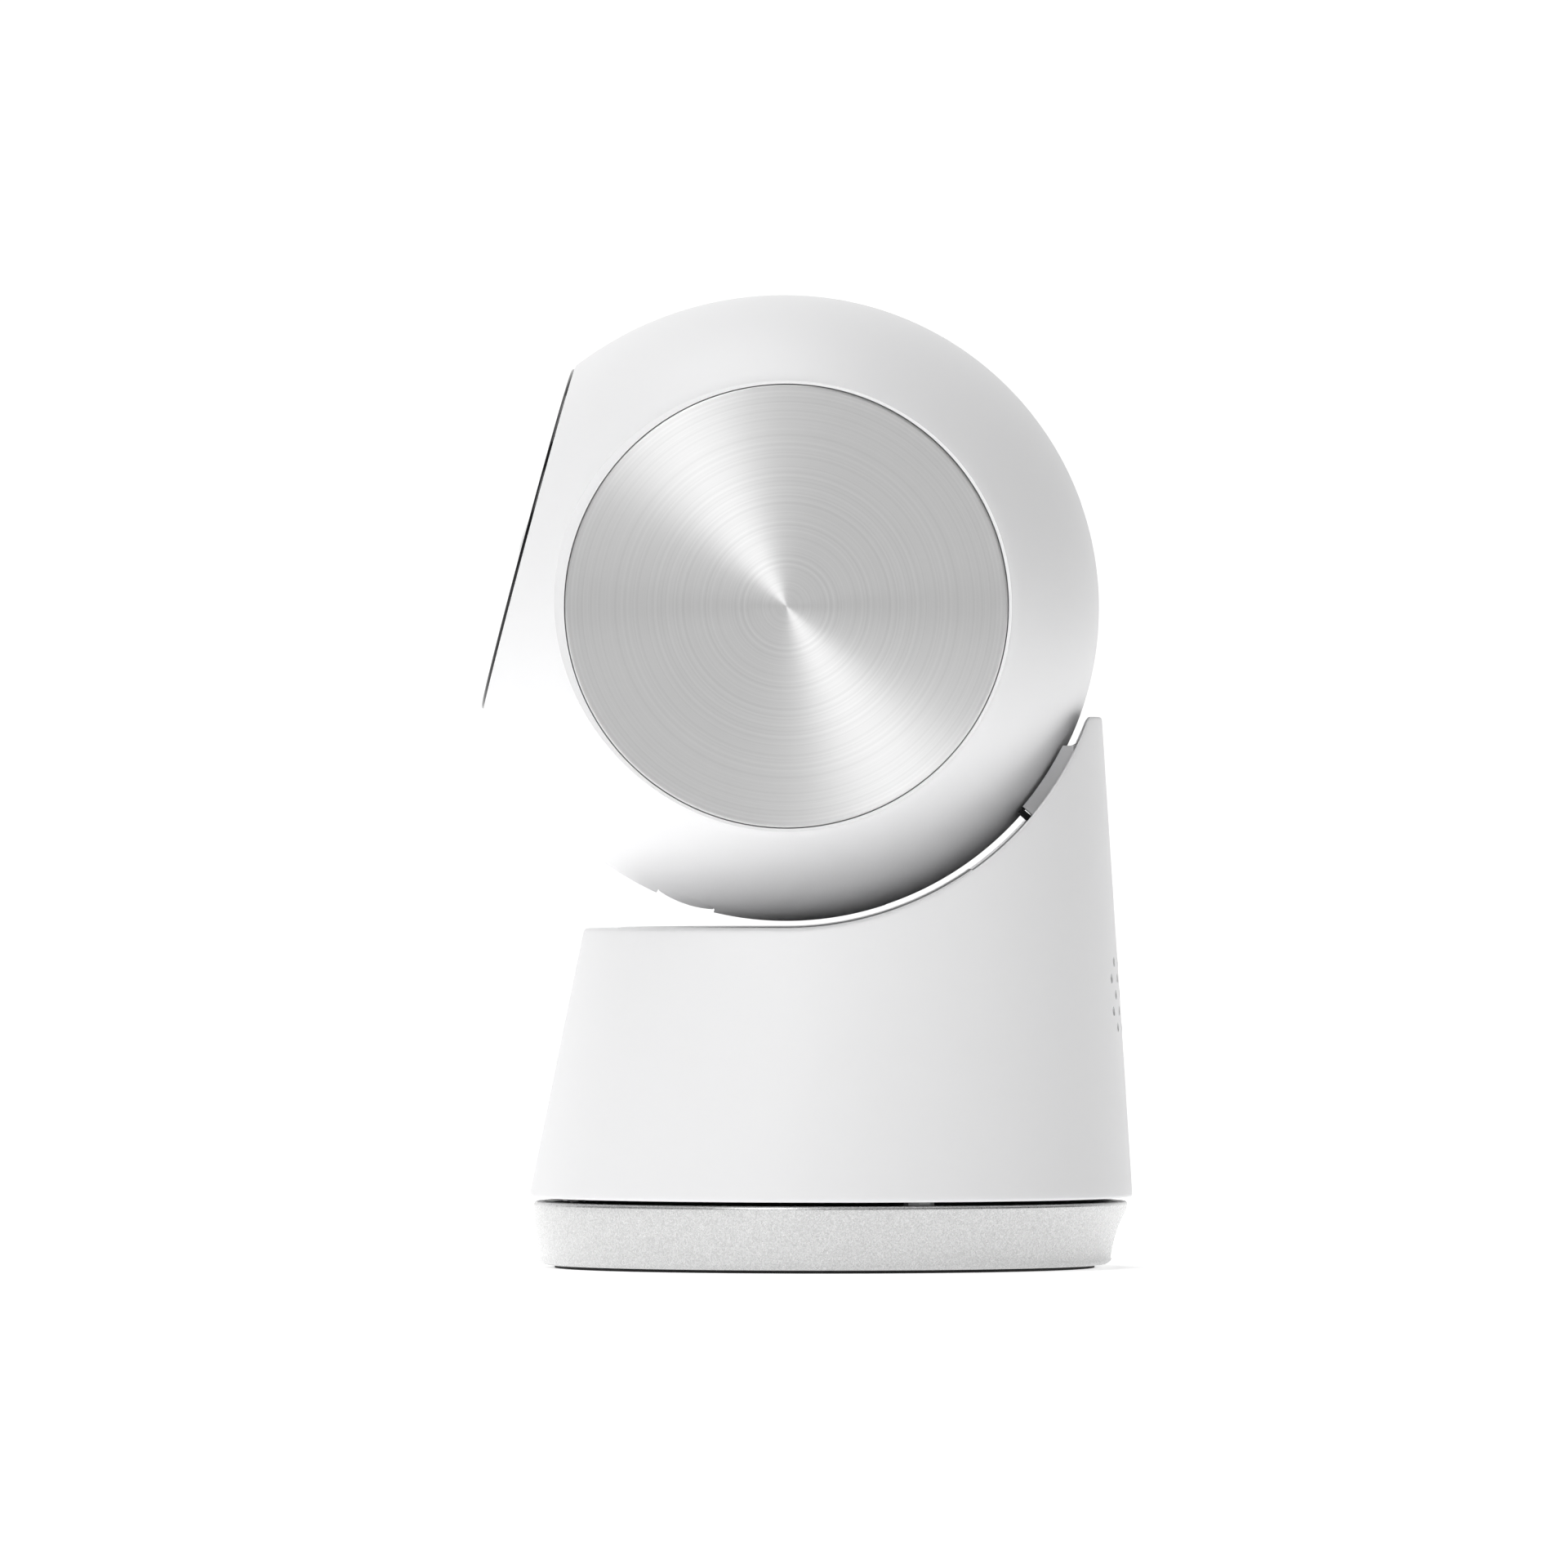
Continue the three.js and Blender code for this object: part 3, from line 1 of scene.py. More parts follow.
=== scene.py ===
# %% [markdown]
# # An indoor pan-and-tilt camera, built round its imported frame
# The frame holds the bodies, joints and sizes. Each cell below makes one visible piece as a surface worked
# out with numpy, or one finish as a node material. Lengths in the formulas are millimetres, as a mould maker
# writes them, and they become metres where a mesh or a light is made.

# %% Load the frame
import json
import math

import bpy
import numpy as np
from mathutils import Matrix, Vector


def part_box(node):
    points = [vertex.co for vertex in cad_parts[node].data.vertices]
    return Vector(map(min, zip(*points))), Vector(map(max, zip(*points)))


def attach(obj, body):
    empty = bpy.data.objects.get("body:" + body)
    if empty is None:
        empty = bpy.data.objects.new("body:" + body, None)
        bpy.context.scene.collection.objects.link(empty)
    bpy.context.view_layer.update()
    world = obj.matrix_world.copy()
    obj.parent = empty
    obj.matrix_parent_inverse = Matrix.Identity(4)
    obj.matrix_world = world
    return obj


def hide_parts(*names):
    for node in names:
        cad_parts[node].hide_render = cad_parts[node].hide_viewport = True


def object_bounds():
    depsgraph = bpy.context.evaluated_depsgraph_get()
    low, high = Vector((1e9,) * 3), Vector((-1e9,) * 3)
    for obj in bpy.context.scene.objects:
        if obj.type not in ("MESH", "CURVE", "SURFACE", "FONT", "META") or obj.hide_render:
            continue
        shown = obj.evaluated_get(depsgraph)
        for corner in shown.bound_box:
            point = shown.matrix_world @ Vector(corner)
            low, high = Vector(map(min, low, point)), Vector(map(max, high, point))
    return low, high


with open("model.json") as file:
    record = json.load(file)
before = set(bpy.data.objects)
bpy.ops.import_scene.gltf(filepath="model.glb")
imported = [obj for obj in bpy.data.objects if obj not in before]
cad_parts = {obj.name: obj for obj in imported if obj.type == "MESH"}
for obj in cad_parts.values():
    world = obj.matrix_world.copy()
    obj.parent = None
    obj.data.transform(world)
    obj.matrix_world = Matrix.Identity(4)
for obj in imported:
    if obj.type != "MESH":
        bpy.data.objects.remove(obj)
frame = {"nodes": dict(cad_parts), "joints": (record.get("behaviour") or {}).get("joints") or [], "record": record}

cad_low, cad_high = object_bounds()
MM = 0.001
joints = {joint["name"]: joint for joint in frame["joints"]}


def node_box(node):
    """Lowest and highest corner of a CAD node in millimetres."""
    low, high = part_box(node)
    return np.array(low) / MM, np.array(high) / MM


# %% [markdown]
# ## Reading the driving sizes off the frame
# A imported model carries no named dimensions, but the boxes of its pieces give them back: the base's top edge,
# the housing's height and the ball's centre all follow from boxes and joint places.

# %% Driving sizes
TILT_CENTRE = np.array(joints["tilt"]["pos_m"]) / MM
FACE_PITCH = math.radians(15)
base_low, base_high = node_box("base_shell")
housing_low, housing_high = node_box("housing_shell")
disc_low, disc_high = node_box("side_disc_left")
HEAD_Y, HEAD_Z = TILT_CENTRE[1], TILT_CENTRE[2]
HEAD_R = cad_high[2] / MM - HEAD_Z + 0.07  # the frame's facets cut a little off the true ball
FRONT_R = HEAD_R + 3.7
FRONT_START = math.radians(80)
FACE = HEAD_R - 5.9
WALL = 2.0
DISC_X = disc_high[0]
DISC_R = (disc_high[2] - disc_low[2]) / 2
SIDE_X = DISC_X - 0.15
HOUSING_Z = housing_low[2]
HOUSING_R = housing_high[0]
TAPER, LEAN = 0.1346, 0.0703
FIN_TOP = housing_high[2]
CRADLE_R = HEAD_R + 0.9
DECK_Z = HEAD_Z - CRADLE_R

# %% [markdown]
# ## Camera
# A long lens far away keeps the side view almost flat, as a product catalogue shows it. It looks along -X,
# level with the middle of the view.

# %% Camera
CAMERA_DISTANCE = 2.571
FRAME_WIDTH = 0.19745
SENSOR = 36.0
lens_data = bpy.data.cameras.new("view_camera")
lens_data.sensor_width = SENSOR
lens_data.lens = SENSOR * CAMERA_DISTANCE / FRAME_WIDTH
lens_data.clip_end = 60
view_camera = bpy.data.objects.new("view_camera", lens_data)
bpy.context.scene.collection.objects.link(view_camera)
view_camera.location = (CAMERA_DISTANCE, -0.00591, 0.06085)
view_camera.rotation_euler = (math.pi / 2, 0, math.pi / 2)
bpy.context.scene.camera = view_camera

# %% [markdown]
# ## From arrays to meshes
# Every shape below is a grid of points. A sheet of quads is read off the grid's rows and columns, sheets that
# share an edge are welded by rounding, and the signed volume tells whether the result is inside out.


# %% Mesh helpers
def sheet_quads(points, wrap_rows=False, wrap_cols=False):
    """Corners of every quad of a grid of points (rows, columns, 3), as an array (quads, 4, 3)."""
    rows = np.arange(points.shape[0] - (0 if wrap_rows else 1))
    cols = np.arange(points.shape[1] - (0 if wrap_cols else 1))
    i, j = np.meshgrid(rows, cols, indexing="ij")
    i2, j2 = (i + 1) % points.shape[0], (j + 1) % points.shape[1]
    corners = [points[i, j], points[i2, j], points[i2, j2], points[i, j2]]
    return np.stack(corners, axis=2).reshape(-1, 4, 3)


def weld(quads):
    """Merges corners that round to the same hundredth of a micron and drops corners that repeat in a face."""
    flat = quads.reshape(-1, 3)
    _, first, inverse = np.unique(np.round(flat, 5), axis=0, return_index=True, return_inverse=True)
    faces = inverse.reshape(-1, 4)
    kept = faces != np.roll(faces, 1, axis=1)
    rows = [face[mask].tolist() for face, mask in zip(faces, kept)]
    return flat[first], [row for row in rows if len(set(row)) >= 3]


def signed_volume(vertices, faces):
    """Six times the volume: each face is fanned into triangles and their spans with the origin are summed."""
    fans = np.array([(face[0], a, b) for face in faces for a, b in zip(face[1:], face[2:])])
    first, second, third = (vertices[fans[:, k]] for k in range(3))
    return np.sum(first * np.cross(second, third))


def piece_from(name, vertices, faces, sharp=40, outward=True):
    """A smooth-shaded object at the origin from vertices in millimetres, its faces turned outwards."""
    if outward and signed_volume(vertices, faces) < 0:
        faces = [face[::-1] for face in faces]
    mesh = bpy.data.meshes.new(name)
    mesh.from_pydata((vertices * MM).tolist(), [], faces)
    mesh.update()
    mesh.shade_smooth()
    mesh.set_sharp_from_angle(angle=math.radians(sharp))
    piece = bpy.data.objects.new(name, mesh)
    bpy.context.scene.collection.objects.link(piece)
    return piece


def piece_from_quads(name, quads, sharp=40):
    return piece_from(name, *weld(quads), sharp=sharp)


def bake_modifiers(piece, sharp=40):
    """Replaces the mesh by what its modifiers make of it."""
    graph = bpy.context.evaluated_depsgraph_get()
    made = bpy.data.meshes.new_from_object(piece.evaluated_get(graph))
    piece.modifiers.clear()
    old = piece.data
    piece.data = made
    bpy.data.meshes.remove(old)
    made.shade_smooth()
    made.set_sharp_from_angle(angle=math.radians(sharp))
    return piece


def carve(piece, *tools, operation="DIFFERENCE", sharp=40):
    """Cuts each tool out of a piece, or joins it on, with exact booleans, then throws the tools away."""
    for tool in tools:
        boolean = piece.modifiers.new("carve", "BOOLEAN")
        boolean.operation = operation
        boolean.solver = "EXACT"
        boolean.object = tool
    bake_modifiers(piece, sharp)
    for tool in tools:
        bpy.data.objects.remove(tool)
    return piece


def soften(piece, width, segments=3, angle=35, sharp=40):
    """Rounds the edges that are sharper than an angle by a small bevel."""
    bevel = piece.modifiers.new("soften", "BEVEL")
    bevel.width = width * MM
    bevel.segments = segments
    bevel.limit_method = "ANGLE"
    bevel.angle_limit = math.radians(angle)
    bevel.use_clamp_overlap = True
    return bake_modifiers(piece, sharp)


def turned(profile, steps=96):
    """Grid of a profile of (radius, height) points carried round the Z axis."""
    profile = np.asarray(profile, float)
    turn = np.linspace(0, 2 * np.pi, steps, endpoint=False)[:, None]
    radius, height = profile[None, :, 0], profile[None, :, 1]
    return np.stack([radius * np.cos(turn), radius * np.sin(turn), height + 0 * turn], axis=-1)


def closed_turned(profile, steps=96):
    """Quads of a turned profile that starts and ends on the axis."""
    return sheet_quads(turned(profile, steps), wrap_rows=True)


def from_head(points):
    """Turns points of the head's own frame, face towards -Y, up by the resting pitch onto the tilt axis."""
    points = np.asarray(points, float)
    c, s = math.cos(FACE_PITCH), math.sin(FACE_PITCH)
    x, y, z = points[..., 0], points[..., 1], points[..., 2]
    return np.stack([x, HEAD_Y + c * y + s * z, HEAD_Z - s * y + c * z], axis=-1)


def along_face(points, drop=0.0):
    """Lays a piece turned round Z along the face normal, so that its height runs out of the face."""
    x, y, z = points[..., 0], points[..., 1], points[..., 2]
    return from_head(np.stack([x, -z, y - drop], axis=-1))


def along_side(points, side):
    """Lays a piece turned round Z along the tilt axis, its height running out of one side."""
    x, y, z = points[..., 0], points[..., 1], points[..., 2]
    return np.stack([side * z, HEAD_Y + x, HEAD_Z + y], axis=-1)


def racetrack(width, height, arc=16):
    """Closed outline of two half circles joined by straight sides, as an array (points, 2)."""
    radius = height / 2
    reach = width / 2 - radius
    right = np.linspace(-np.pi / 2, np.pi / 2, arc)
    left = right + np.pi
    return np.concatenate([
        np.stack([reach + radius * np.cos(right), radius * np.sin(right)], axis=1),
        np.stack([-reach + radius * np.cos(left), radius * np.sin(left)], axis=1),
    ])


def prism(outline, low, high):
    """Closed prism of an outline in the first two axes between two heights, as (vertices, faces)."""
    count = len(outline)
    ring = np.asarray(outline, float)
    bottom = np.column_stack([ring, np.full(count, low)])
    top = np.column_stack([ring, np.full(count, high)])
    sides = [[i, (i + 1) % count, (i + 1) % count + count, i + count] for i in range(count)]
    caps = [list(range(count))[::-1], list(range(count, 2 * count))]
    return np.concatenate([bottom, top]), sides + caps


# %% [markdown]
# ## Finishes
# A moulded plastic is never one flat colour: fine spark-erosion texture breaks up its gloss, and the colour
# drifts by a percent or two. Small node groups hold such effects once, and each material places them with its
# own values. Patterns read Object coordinates, so they stay on the piece as it moves.


# %% Shader helpers
def new_material(name, **sockets):
    """A Principled material with constant values set on the shader's own sockets."""
    material = bpy.data.materials.new(name)
    material.use_nodes = True
    shader = material.node_tree.nodes["Principled BSDF"]
    for socket, value in sockets.items():
        shader.inputs[socket.replace("_", " ")].default_value = value
    return material, material.node_tree, shader


def group_with(name, inputs, outputs):
    """An empty shader node group with float inputs given as {name: default} and outputs as {name: type}."""
    group = bpy.data.node_groups.new(name, "ShaderNodeTree")
    for label, default in inputs.items():
        socket = group.interface.new_socket(label, in_out="INPUT", socket_type="NodeSocketFloat")
        socket.default_value = default
    for label, kind in outputs.items():
        group.interface.new_socket(label, in_out="OUTPUT", socket_type=kind)
    return group, group.nodes.new("NodeGroupInput"), group.nodes.new("NodeGroupOutput")


def math_node(tree, operation, first, second):
    """A Math node whose inputs may be sockets or numbers."""
    node = tree.nodes.new("ShaderNodeMath")
    node.operation = operation
    for slot, value in enumerate((first, second)):
        if hasattr(value, "links"):
            tree.links.new(value, node.inputs[slot])
        else:
            node.inputs[slot].default_value = value
    return node.outputs[0]


def map_range(tree, value, low, high, start=0.0, end=1.0, curve="LINEAR"):
    """Carries a value from start..end to low..high."""
    node = tree.nodes.new("ShaderNodeMapRange")
    node.interpolation_type = curve
    for socket, number in (("From Min", start), ("From Max", end), ("To Min", low), ("To Max", high)):
        node.inputs[socket].default_value = number
    tree.links.new(value, node.inputs["Value"])
    return node.outputs["Result"]


def add_bump(tree, shader, height, strength, distance):
    """A bump of a height given in millimetres."""
    bump = tree.nodes.new("ShaderNodeBump")
    bump.inputs["Strength"].default_value = strength
    bump.inputs["Distance"].default_value = distance * MM
    tree.links.new(height, bump.inputs["Height"])
    tree.links.new(bump.outputs["Normal"], shader.inputs["Normal"])


def add_grey(tree, shader, value):
    """The same value in all three channels of the base colour."""
    tint = tree.nodes.new("ShaderNodeCombineColor")
    for channel in ("Red", "Green", "Blue"):
        tree.links.new(value, tint.inputs[channel])
    tree.links.new(tint.outputs["Color"], shader.inputs["Base Color"])


def make_grain():
    """Group: fine noise for the height of a bump, and a slow drift for colour or roughness."""
    group, given, out = group_with(
        "moulded_grain",
        {"Grains per metre": 2600.0, "Drift per metre": 30.0, "Drift": 0.02, "Middle": 1.0},
        {"Height": "NodeSocketFloat", "Value": "NodeSocketFloat"},
    )
    place = group.nodes.new("ShaderNodeTexCoord")
    fine = group.nodes.new("ShaderNodeTexNoise")
    fine.inputs["Detail"].default_value = 3
    slow = group.nodes.new("ShaderNodeTexNoise")
    slow.inputs["Detail"].default_value = 2
    for noise, scale in ((fine, "Grains per metre"), (slow, "Drift per metre")):
        group.links.new(place.outputs["Object"], noise.inputs["Vector"])
        group.links.new(given.outputs[scale], noise.inputs["Scale"])
    centred = math_node(group, "SUBTRACT", slow.outputs["Fac"], 0.5)
    drift = math_node(group, "MULTIPLY", centred, given.outputs["Drift"])
    value = math_node(group, "ADD", drift, given.outputs["Middle"])
    group.links.new(fine.outputs["Fac"], out.inputs["Height"])
    group.links.new(value, out.inputs["Value"])
    return group


GRAIN = make_grain()


def add_grain(tree, shader, colour, strength, distance, grains=2600.0, drift=0.02, rough=None):
    """Feeds a grain group into a shader: colour drift, a bump, and a roughness that drifts about a middle."""
    grain = tree.nodes.new("ShaderNodeGroup")
    grain.node_tree = GRAIN
    grain.inputs["Grains per metre"].default_value = grains
    grain.inputs["Drift"].default_value = drift
    tint = tree.nodes.new("ShaderNodeVectorMath")
    tint.operation = "SCALE"
    tint.inputs[0].default_value = colour[:3]
    tree.links.new(grain.outputs["Value"], tint.inputs["Scale"])
    tree.links.new(tint.outputs[0], shader.inputs["Base Color"])
    add_bump(tree, shader, grain.outputs["Height"], strength, distance)
    if rough is not None:
        tree.links.new(map_range(tree, grain.outputs["Height"], *rough), shader.inputs["Roughness"])


def grained(name, colour, strength, distance, **settings):
    """A plain moulded, cast or rolled finish with its own grain."""
    kept = {key: settings.pop(key) for key in ("grains", "drift", "rough") if key in settings}
    material, tree, shader = new_material(name, **settings)
    add_grain(tree, shader, colour, strength, distance, **kept)
    return material


# %% Plain finishes
FINISHES = {
    slot: grained(f"{slot}_finish", colour, strength, distance, **settings)
    for slot, colour, strength, distance, settings in (
        ("white_plastic", (0.87, 0.87, 0.875), 0.25, 0.02, dict(grains=3800.0, drift=0.012, rough=(0.4, 0.52))),
        ("black_plastic", (0.018, 0.018, 0.02), 0.4, 0.03, dict(rough=(0.45, 0.62))),
        ("rubber", (0.013, 0.013, 0.013), 0.5, 0.05, dict(grains=1800.0, rough=(0.7, 0.9))),
        ("steel", (0.56, 0.56, 0.57), 0.2, 0.01, dict(Metallic=1.0, rough=(0.28, 0.4))),
        ("aluminium", (0.72, 0.72, 0.73), 0.2, 0.01, dict(Metallic=1.0, rough=(0.3, 0.42))),
        ("gear_plastic", (0.78, 0.76, 0.68), 0.2, 0.02, dict(rough=(0.35, 0.45))),
        ("circuit_board", (0.02, 0.12, 0.06), 0.3, 0.02, dict(grains=900.0, rough=(0.3, 0.45))),
        ("chip", (0.03, 0.03, 0.034), 0.3, 0.02, dict(rough=(0.4, 0.55))),
        ("black_glass", (0.006, 0.006, 0.007), 0.02, 0.005, dict(grains=400.0, rough=(0.03, 0.06), IOR=1.4)),
    )
}


# %% [markdown]
# ## Silver paint
# Metallic paint is tiny flakes under a clear skin. A Voronoi pattern far finer than the eye separates gives
# every flake its own brightness, and a coat over it keeps the smooth outer gloss.


# %% Silver paint
def make_silver():
    material, tree, shader = new_material("silver_paint_finish", Metallic=0.85, Coat_Weight=0.35)
    shader.inputs["Coat Roughness"].default_value = 0.18
    place = tree.nodes.new("ShaderNodeTexCoord")
    flakes = tree.nodes.new("ShaderNodeTexVoronoi")
    flakes.inputs["Scale"].default_value = 7000.0
    tree.links.new(place.outputs["Object"], flakes.inputs["Vector"])
    split = tree.nodes.new("ShaderNodeSeparateColor")
    tree.links.new(flakes.outputs["Color"], split.inputs["Color"])
    add_grey(tree, shader, map_range(tree, split.outputs["Red"], 0.50, 0.66))
    tree.links.new(map_range(tree, split.outputs["Green"], 0.26, 0.38), shader.inputs["Roughness"])
    add_bump(tree, shader, split.outputs["Blue"], 0.05, 0.01)
    return material


FINISHES["silver_paint"] = make_silver()


# %% [markdown]
# ## Turned metal
# A lathe tool leaves rings. Light spreads across the rings and not along them, so the disc shows a bow tie of
# bright and dark sectors. The shader's anisotropy does that when its tangent runs round the disc, which the
# piece's own UV map gives, and the rings' own brightness wanders from ring to ring.


# %% Turned metal
def ring_noise(tree, place, rings_per_metre, detail):
    """Noise that depends only on the distance from the tilt axis."""
    middle = tree.nodes.new("ShaderNodeMapping")
    middle.inputs["Location"].default_value = (0, -HEAD_Y * MM, -HEAD_Z * MM)
    tree.links.new(place.outputs["Object"], middle.inputs["Vector"])
    flat = tree.nodes.new("ShaderNodeVectorMath")
    flat.operation = "MULTIPLY"
    flat.inputs[1].default_value = (0, 1, 1)
    tree.links.new(middle.outputs["Vector"], flat.inputs[0])
    reach = tree.nodes.new("ShaderNodeVectorMath")
    reach.operation = "LENGTH"
    tree.links.new(flat.outputs[0], reach.inputs[0])
    noise = tree.nodes.new("ShaderNodeTexNoise")
    noise.noise_dimensions = "1D"
    noise.inputs["Scale"].default_value = rings_per_metre
    noise.inputs["Detail"].default_value = detail
    tree.links.new(reach.outputs["Value"], noise.inputs["W"])
    return noise.outputs["Fac"]


def make_turned_metal():
    material, tree, shader = new_material("turned_metal_finish", Metallic=1.0)
    shader.inputs["Anisotropic"].default_value = 0.93
    shader.inputs["Anisotropic Rotation"].default_value = 0.25  # across the rings
    place = tree.nodes.new("ShaderNodeTexCoord")
    add_grey(tree, shader, map_range(tree, ring_noise(tree, place, 2600.0, 4.0), 0.74, 0.90))
    rough = map_range(tree, ring_noise(tree, place, 2400.0, 2.0), 0.44, 0.54)
    tree.links.new(rough, shader.inputs["Roughness"])
    tangent = tree.nodes.new("ShaderNodeTangent")
    tangent.direction_type = "UV_MAP"
    tangent.uv_map = "round"
    tree.links.new(tangent.outputs["Tangent"], shader.inputs["Tangent"])
    return material


FINISHES["turned_metal"] = make_turned_metal()


# %% Lens and coating, with a painted sheen
def make_lenses():
    """Clear lens dome, and the coated element under it: near-black where it faces the view, with a painted violet
    sheen standing in for the coating's reflection where it turns away.
    """
    clear, _, shader = new_material("clear_lens_finish", Roughness=0.02, IOR=1.49)
    shader.inputs["Transmission Weight"].default_value = 1.0
    coated, tree, shader = new_material("coated_lens_with_painted_sheen", Roughness=0.06, Coat_Weight=1.0, IOR=1.7)
    # Painted sheen: the base colour runs from the element's own near-black, facing the view, to violet towards
    # grazing, standing in for the coating's reflection.
    angle = tree.nodes.new("ShaderNodeLayerWeight")
    angle.inputs["Blend"].default_value = 0.45
    sheen_ramp = tree.nodes.new("ShaderNodeValToRGB")
    sheen_ramp.color_ramp.elements[0].color = (0.012, 0.010, 0.03, 1)
    sheen_ramp.color_ramp.elements[1].color = (0.20, 0.10, 0.36, 1)
    tree.links.new(angle.outputs["Facing"], sheen_ramp.inputs["Fac"])
    tree.links.new(sheen_ramp.outputs["Color"], shader.inputs["Base Color"])
    return clear, coated


FINISHES["clear_lens"], FINISHES["coated_lens"] = make_lenses()


def give_finish(thing, slot):
    thing.data.materials.clear()
    thing.data.materials.append(FINISHES[slot])


def settle(piece, body, slot, *nodes):
    """Gives a new piece its slot's finish, lets it ride on a body and stand for CAD nodes."""
    give_finish(piece, slot)
    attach(piece, body)
    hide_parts(*nodes)
    print(piece.name, len(piece.data.polygons), "faces")


# %% [markdown]
# ## The ball
# The ball is a sphere whose front is drawn with a slightly larger radius, so that the flat face sits in a
# softer nose. Both arcs share a tangent 80 degrees from the face normal. A half shell is a closed loop of
# points in (x, radius) for each direction round the tilt axis: out along the skin, over the rim of the disc
# recess, in along the ledge and back along the inside.


# %% The ball's formula
def ball_distance(cosine, inset):
    """Distance from the centre to the skin in a direction whose angle from the face normal has that cosine.

    Behind the tangent the skin is the sphere. Ahead of it, it solves |d*u - c| = F for d, where u is the
    direction, c the front arc's centre and F its radius.
    """
    cosine = np.clip(cosine, -1, 1)
    sine = np.sqrt(1 - cosine**2)
    offset = HEAD_R - FRONT_R
    centre_r, centre_a = offset * math.sin(FRONT_START), offset * math.cos(FRONT_START)
    reach = centre_r * sine + centre_a * cosine
    front = reach + np.sqrt(reach**2 + (FRONT_R - inset) ** 2 - offset**2)
    return np.where(cosine > math.cos(FRONT_START), front, HEAD_R - inset)


def skin_radius(x, turn, inset=0.0):
    """Radius about the tilt axis where the skin passes at width x, in the direction turn from the face."""
    radius = np.sqrt(np.maximum((HEAD_R - inset) ** 2 - x**2, 1.0)) * np.ones_like(turn)
    for _ in range(25):
        whole = np.sqrt(x**2 + radius**2)
        distance = ball_distance(radius * np.cos(turn) / whole, inset)
        radius = np.sqrt(np.maximum(distance**2 - x**2, 1.0))
    return radius


TURNS = 288
SEAM = 0.06
SEAM_EDGE, RIM_EDGE = 0.12, 0.3
RECESS_R = DISC_R + 0.13
LEDGE_X, LEDGE_WIDTH, LEDGE_THICK = SIDE_X - 2.1, 6, 1.5


def shell_half(side):
    """Closed grid of one half of the ball's shell in the head's own frame."""
    turn = np.linspace(0, 2 * np.pi, TURNS, endpoint=False)[:, None]
    roll = np.linspace(0, np.pi / 2, 5)[None, :]
    span = SIDE_X - RIM_EDGE - SEAM_EDGE - SEAM
    xs = (SEAM_EDGE + SEAM + np.linspace(0, 1, 34) * span)[None, :]
    outer = skin_radius(xs, turn)
    start_x = SEAM + SEAM_EDGE * (1 - np.sin(roll))[:, ::-1][:, :-1]
    start_r = outer[:, :1] - SEAM_EDGE * (1 - np.cos(roll))[:, ::-1][:, :-1]
    rim_x = SIDE_X - RIM_EDGE + RIM_EDGE * np.sin(roll)[:, 1:]
    rim_r = outer[:, -1:] - RIM_EDGE * 1.02 * (1 - 0.2 * np.cos(roll)[:, 1:])
    rim_r = np.maximum(rim_r, RECESS_R + 0.06)
    back = LEDGE_X - LEDGE_THICK
    ledge_r = RECESS_R - LEDGE_WIDTH
    inside_x = np.array([[SIDE_X - 0.06, LEDGE_X, LEDGE_X, back]])
    inside_r = np.array([[RECESS_R, RECESS_R, ledge_r, ledge_r]])
    back_x = np.linspace(back, SEAM, 26)[None, :]
    back_r = skin_radius(back_x, turn, WALL)
    spread = np.ones_like(turn)
    x = np.concatenate([a * spread for a in (start_x, xs, rim_x, inside_x, back_x)], axis=1)
    r = np.concatenate([start_r, outer, rim_r, inside_r * spread, back_r], axis=1)
    return np.stack([side * x, -r * np.cos(turn), r * np.sin(turn)], axis=-1)


# %% Cutters for the face, the arm slot and the card door
ARM_HALF = 1.7
ARM_ROOM = np.radians([-19.5, 71.5]) - FACE_PITCH
GLASS_SEAT_R = node_box("face_glass")[1][0] + 0.15
DOOR_ANGLE = math.radians(86)
DOOR_SIZE = (18.5, 7.6)


def face_tool():
    """Turned cutter: everything ahead of the face plane, and a round seat for the glass behind it."""
    far = 2 * HEAD_R
    seat = FACE - 1.7
    profile = [(0, seat), (GLASS_SEAT_R, seat), (GLASS_SEAT_R, FACE - 0.1), (GLASS_SEAT_R + 0.1, FACE)]
    quads = closed_turned(profile + [(far, FACE), (far, far), (0, far)], 192)
    return piece_from_quads("face_tool", along_face(quads))


def arm_slot_tool():
    """Slab in the middle plane between two angles, for every place that the arm takes."""
    half = ARM_HALF + 0.4
    angles = np.linspace(*ARM_ROOM, 40)
    outward = np.stack([np.cos(angles), -np.sin(angles)], axis=1)
    outer, inner = outward * (HEAD_R + 3), outward[::-1] * (HEAD_R - 9)
    vertices, faces = prism(np.concatenate([outer, inner]), -half, half)
    vertices = from_head(vertices[:, [2, 0, 1]])
    return piece_from("arm_slot_tool", vertices, faces)


def door_frame(points):
    """From (across, along, out) of the door to the head's frame, out pointing DOOR_ANGLE below the normal."""
    across, along, out = points[..., 0], points[..., 1], points[..., 2]
    c, s = math.cos(DOOR_ANGLE), math.sin(DOOR_ANGLE)
    return from_head(np.stack([across, -out * c - along * s, -out * s + along * c], axis=-1))


def door_tool():
    vertices, faces = prism(racetrack(*DOOR_SIZE), HEAD_R - 8, HEAD_R + 4)
    return piece_from("door_tool", door_frame(vertices), faces)


for side, label in ((1, "left"), (-1, "right")):
    shell = piece_from_quads(f"ball_shell_{label}", sheet_quads(from_head(shell_half(side)), True, True))
    carve(shell, face_tool(), arm_slot_tool(), door_tool(), sharp=30)
    settle(shell, "head", "white_plastic", f"head_shell_{label}")


# %% [markdown]
# ## Card door
# The door is a plug of the same skin: a racetrack plate that follows the sphere, with rolled edges and a nail
# notch at its rear end. Its rings are the outline shrunk towards the middle, lifted onto the ball.


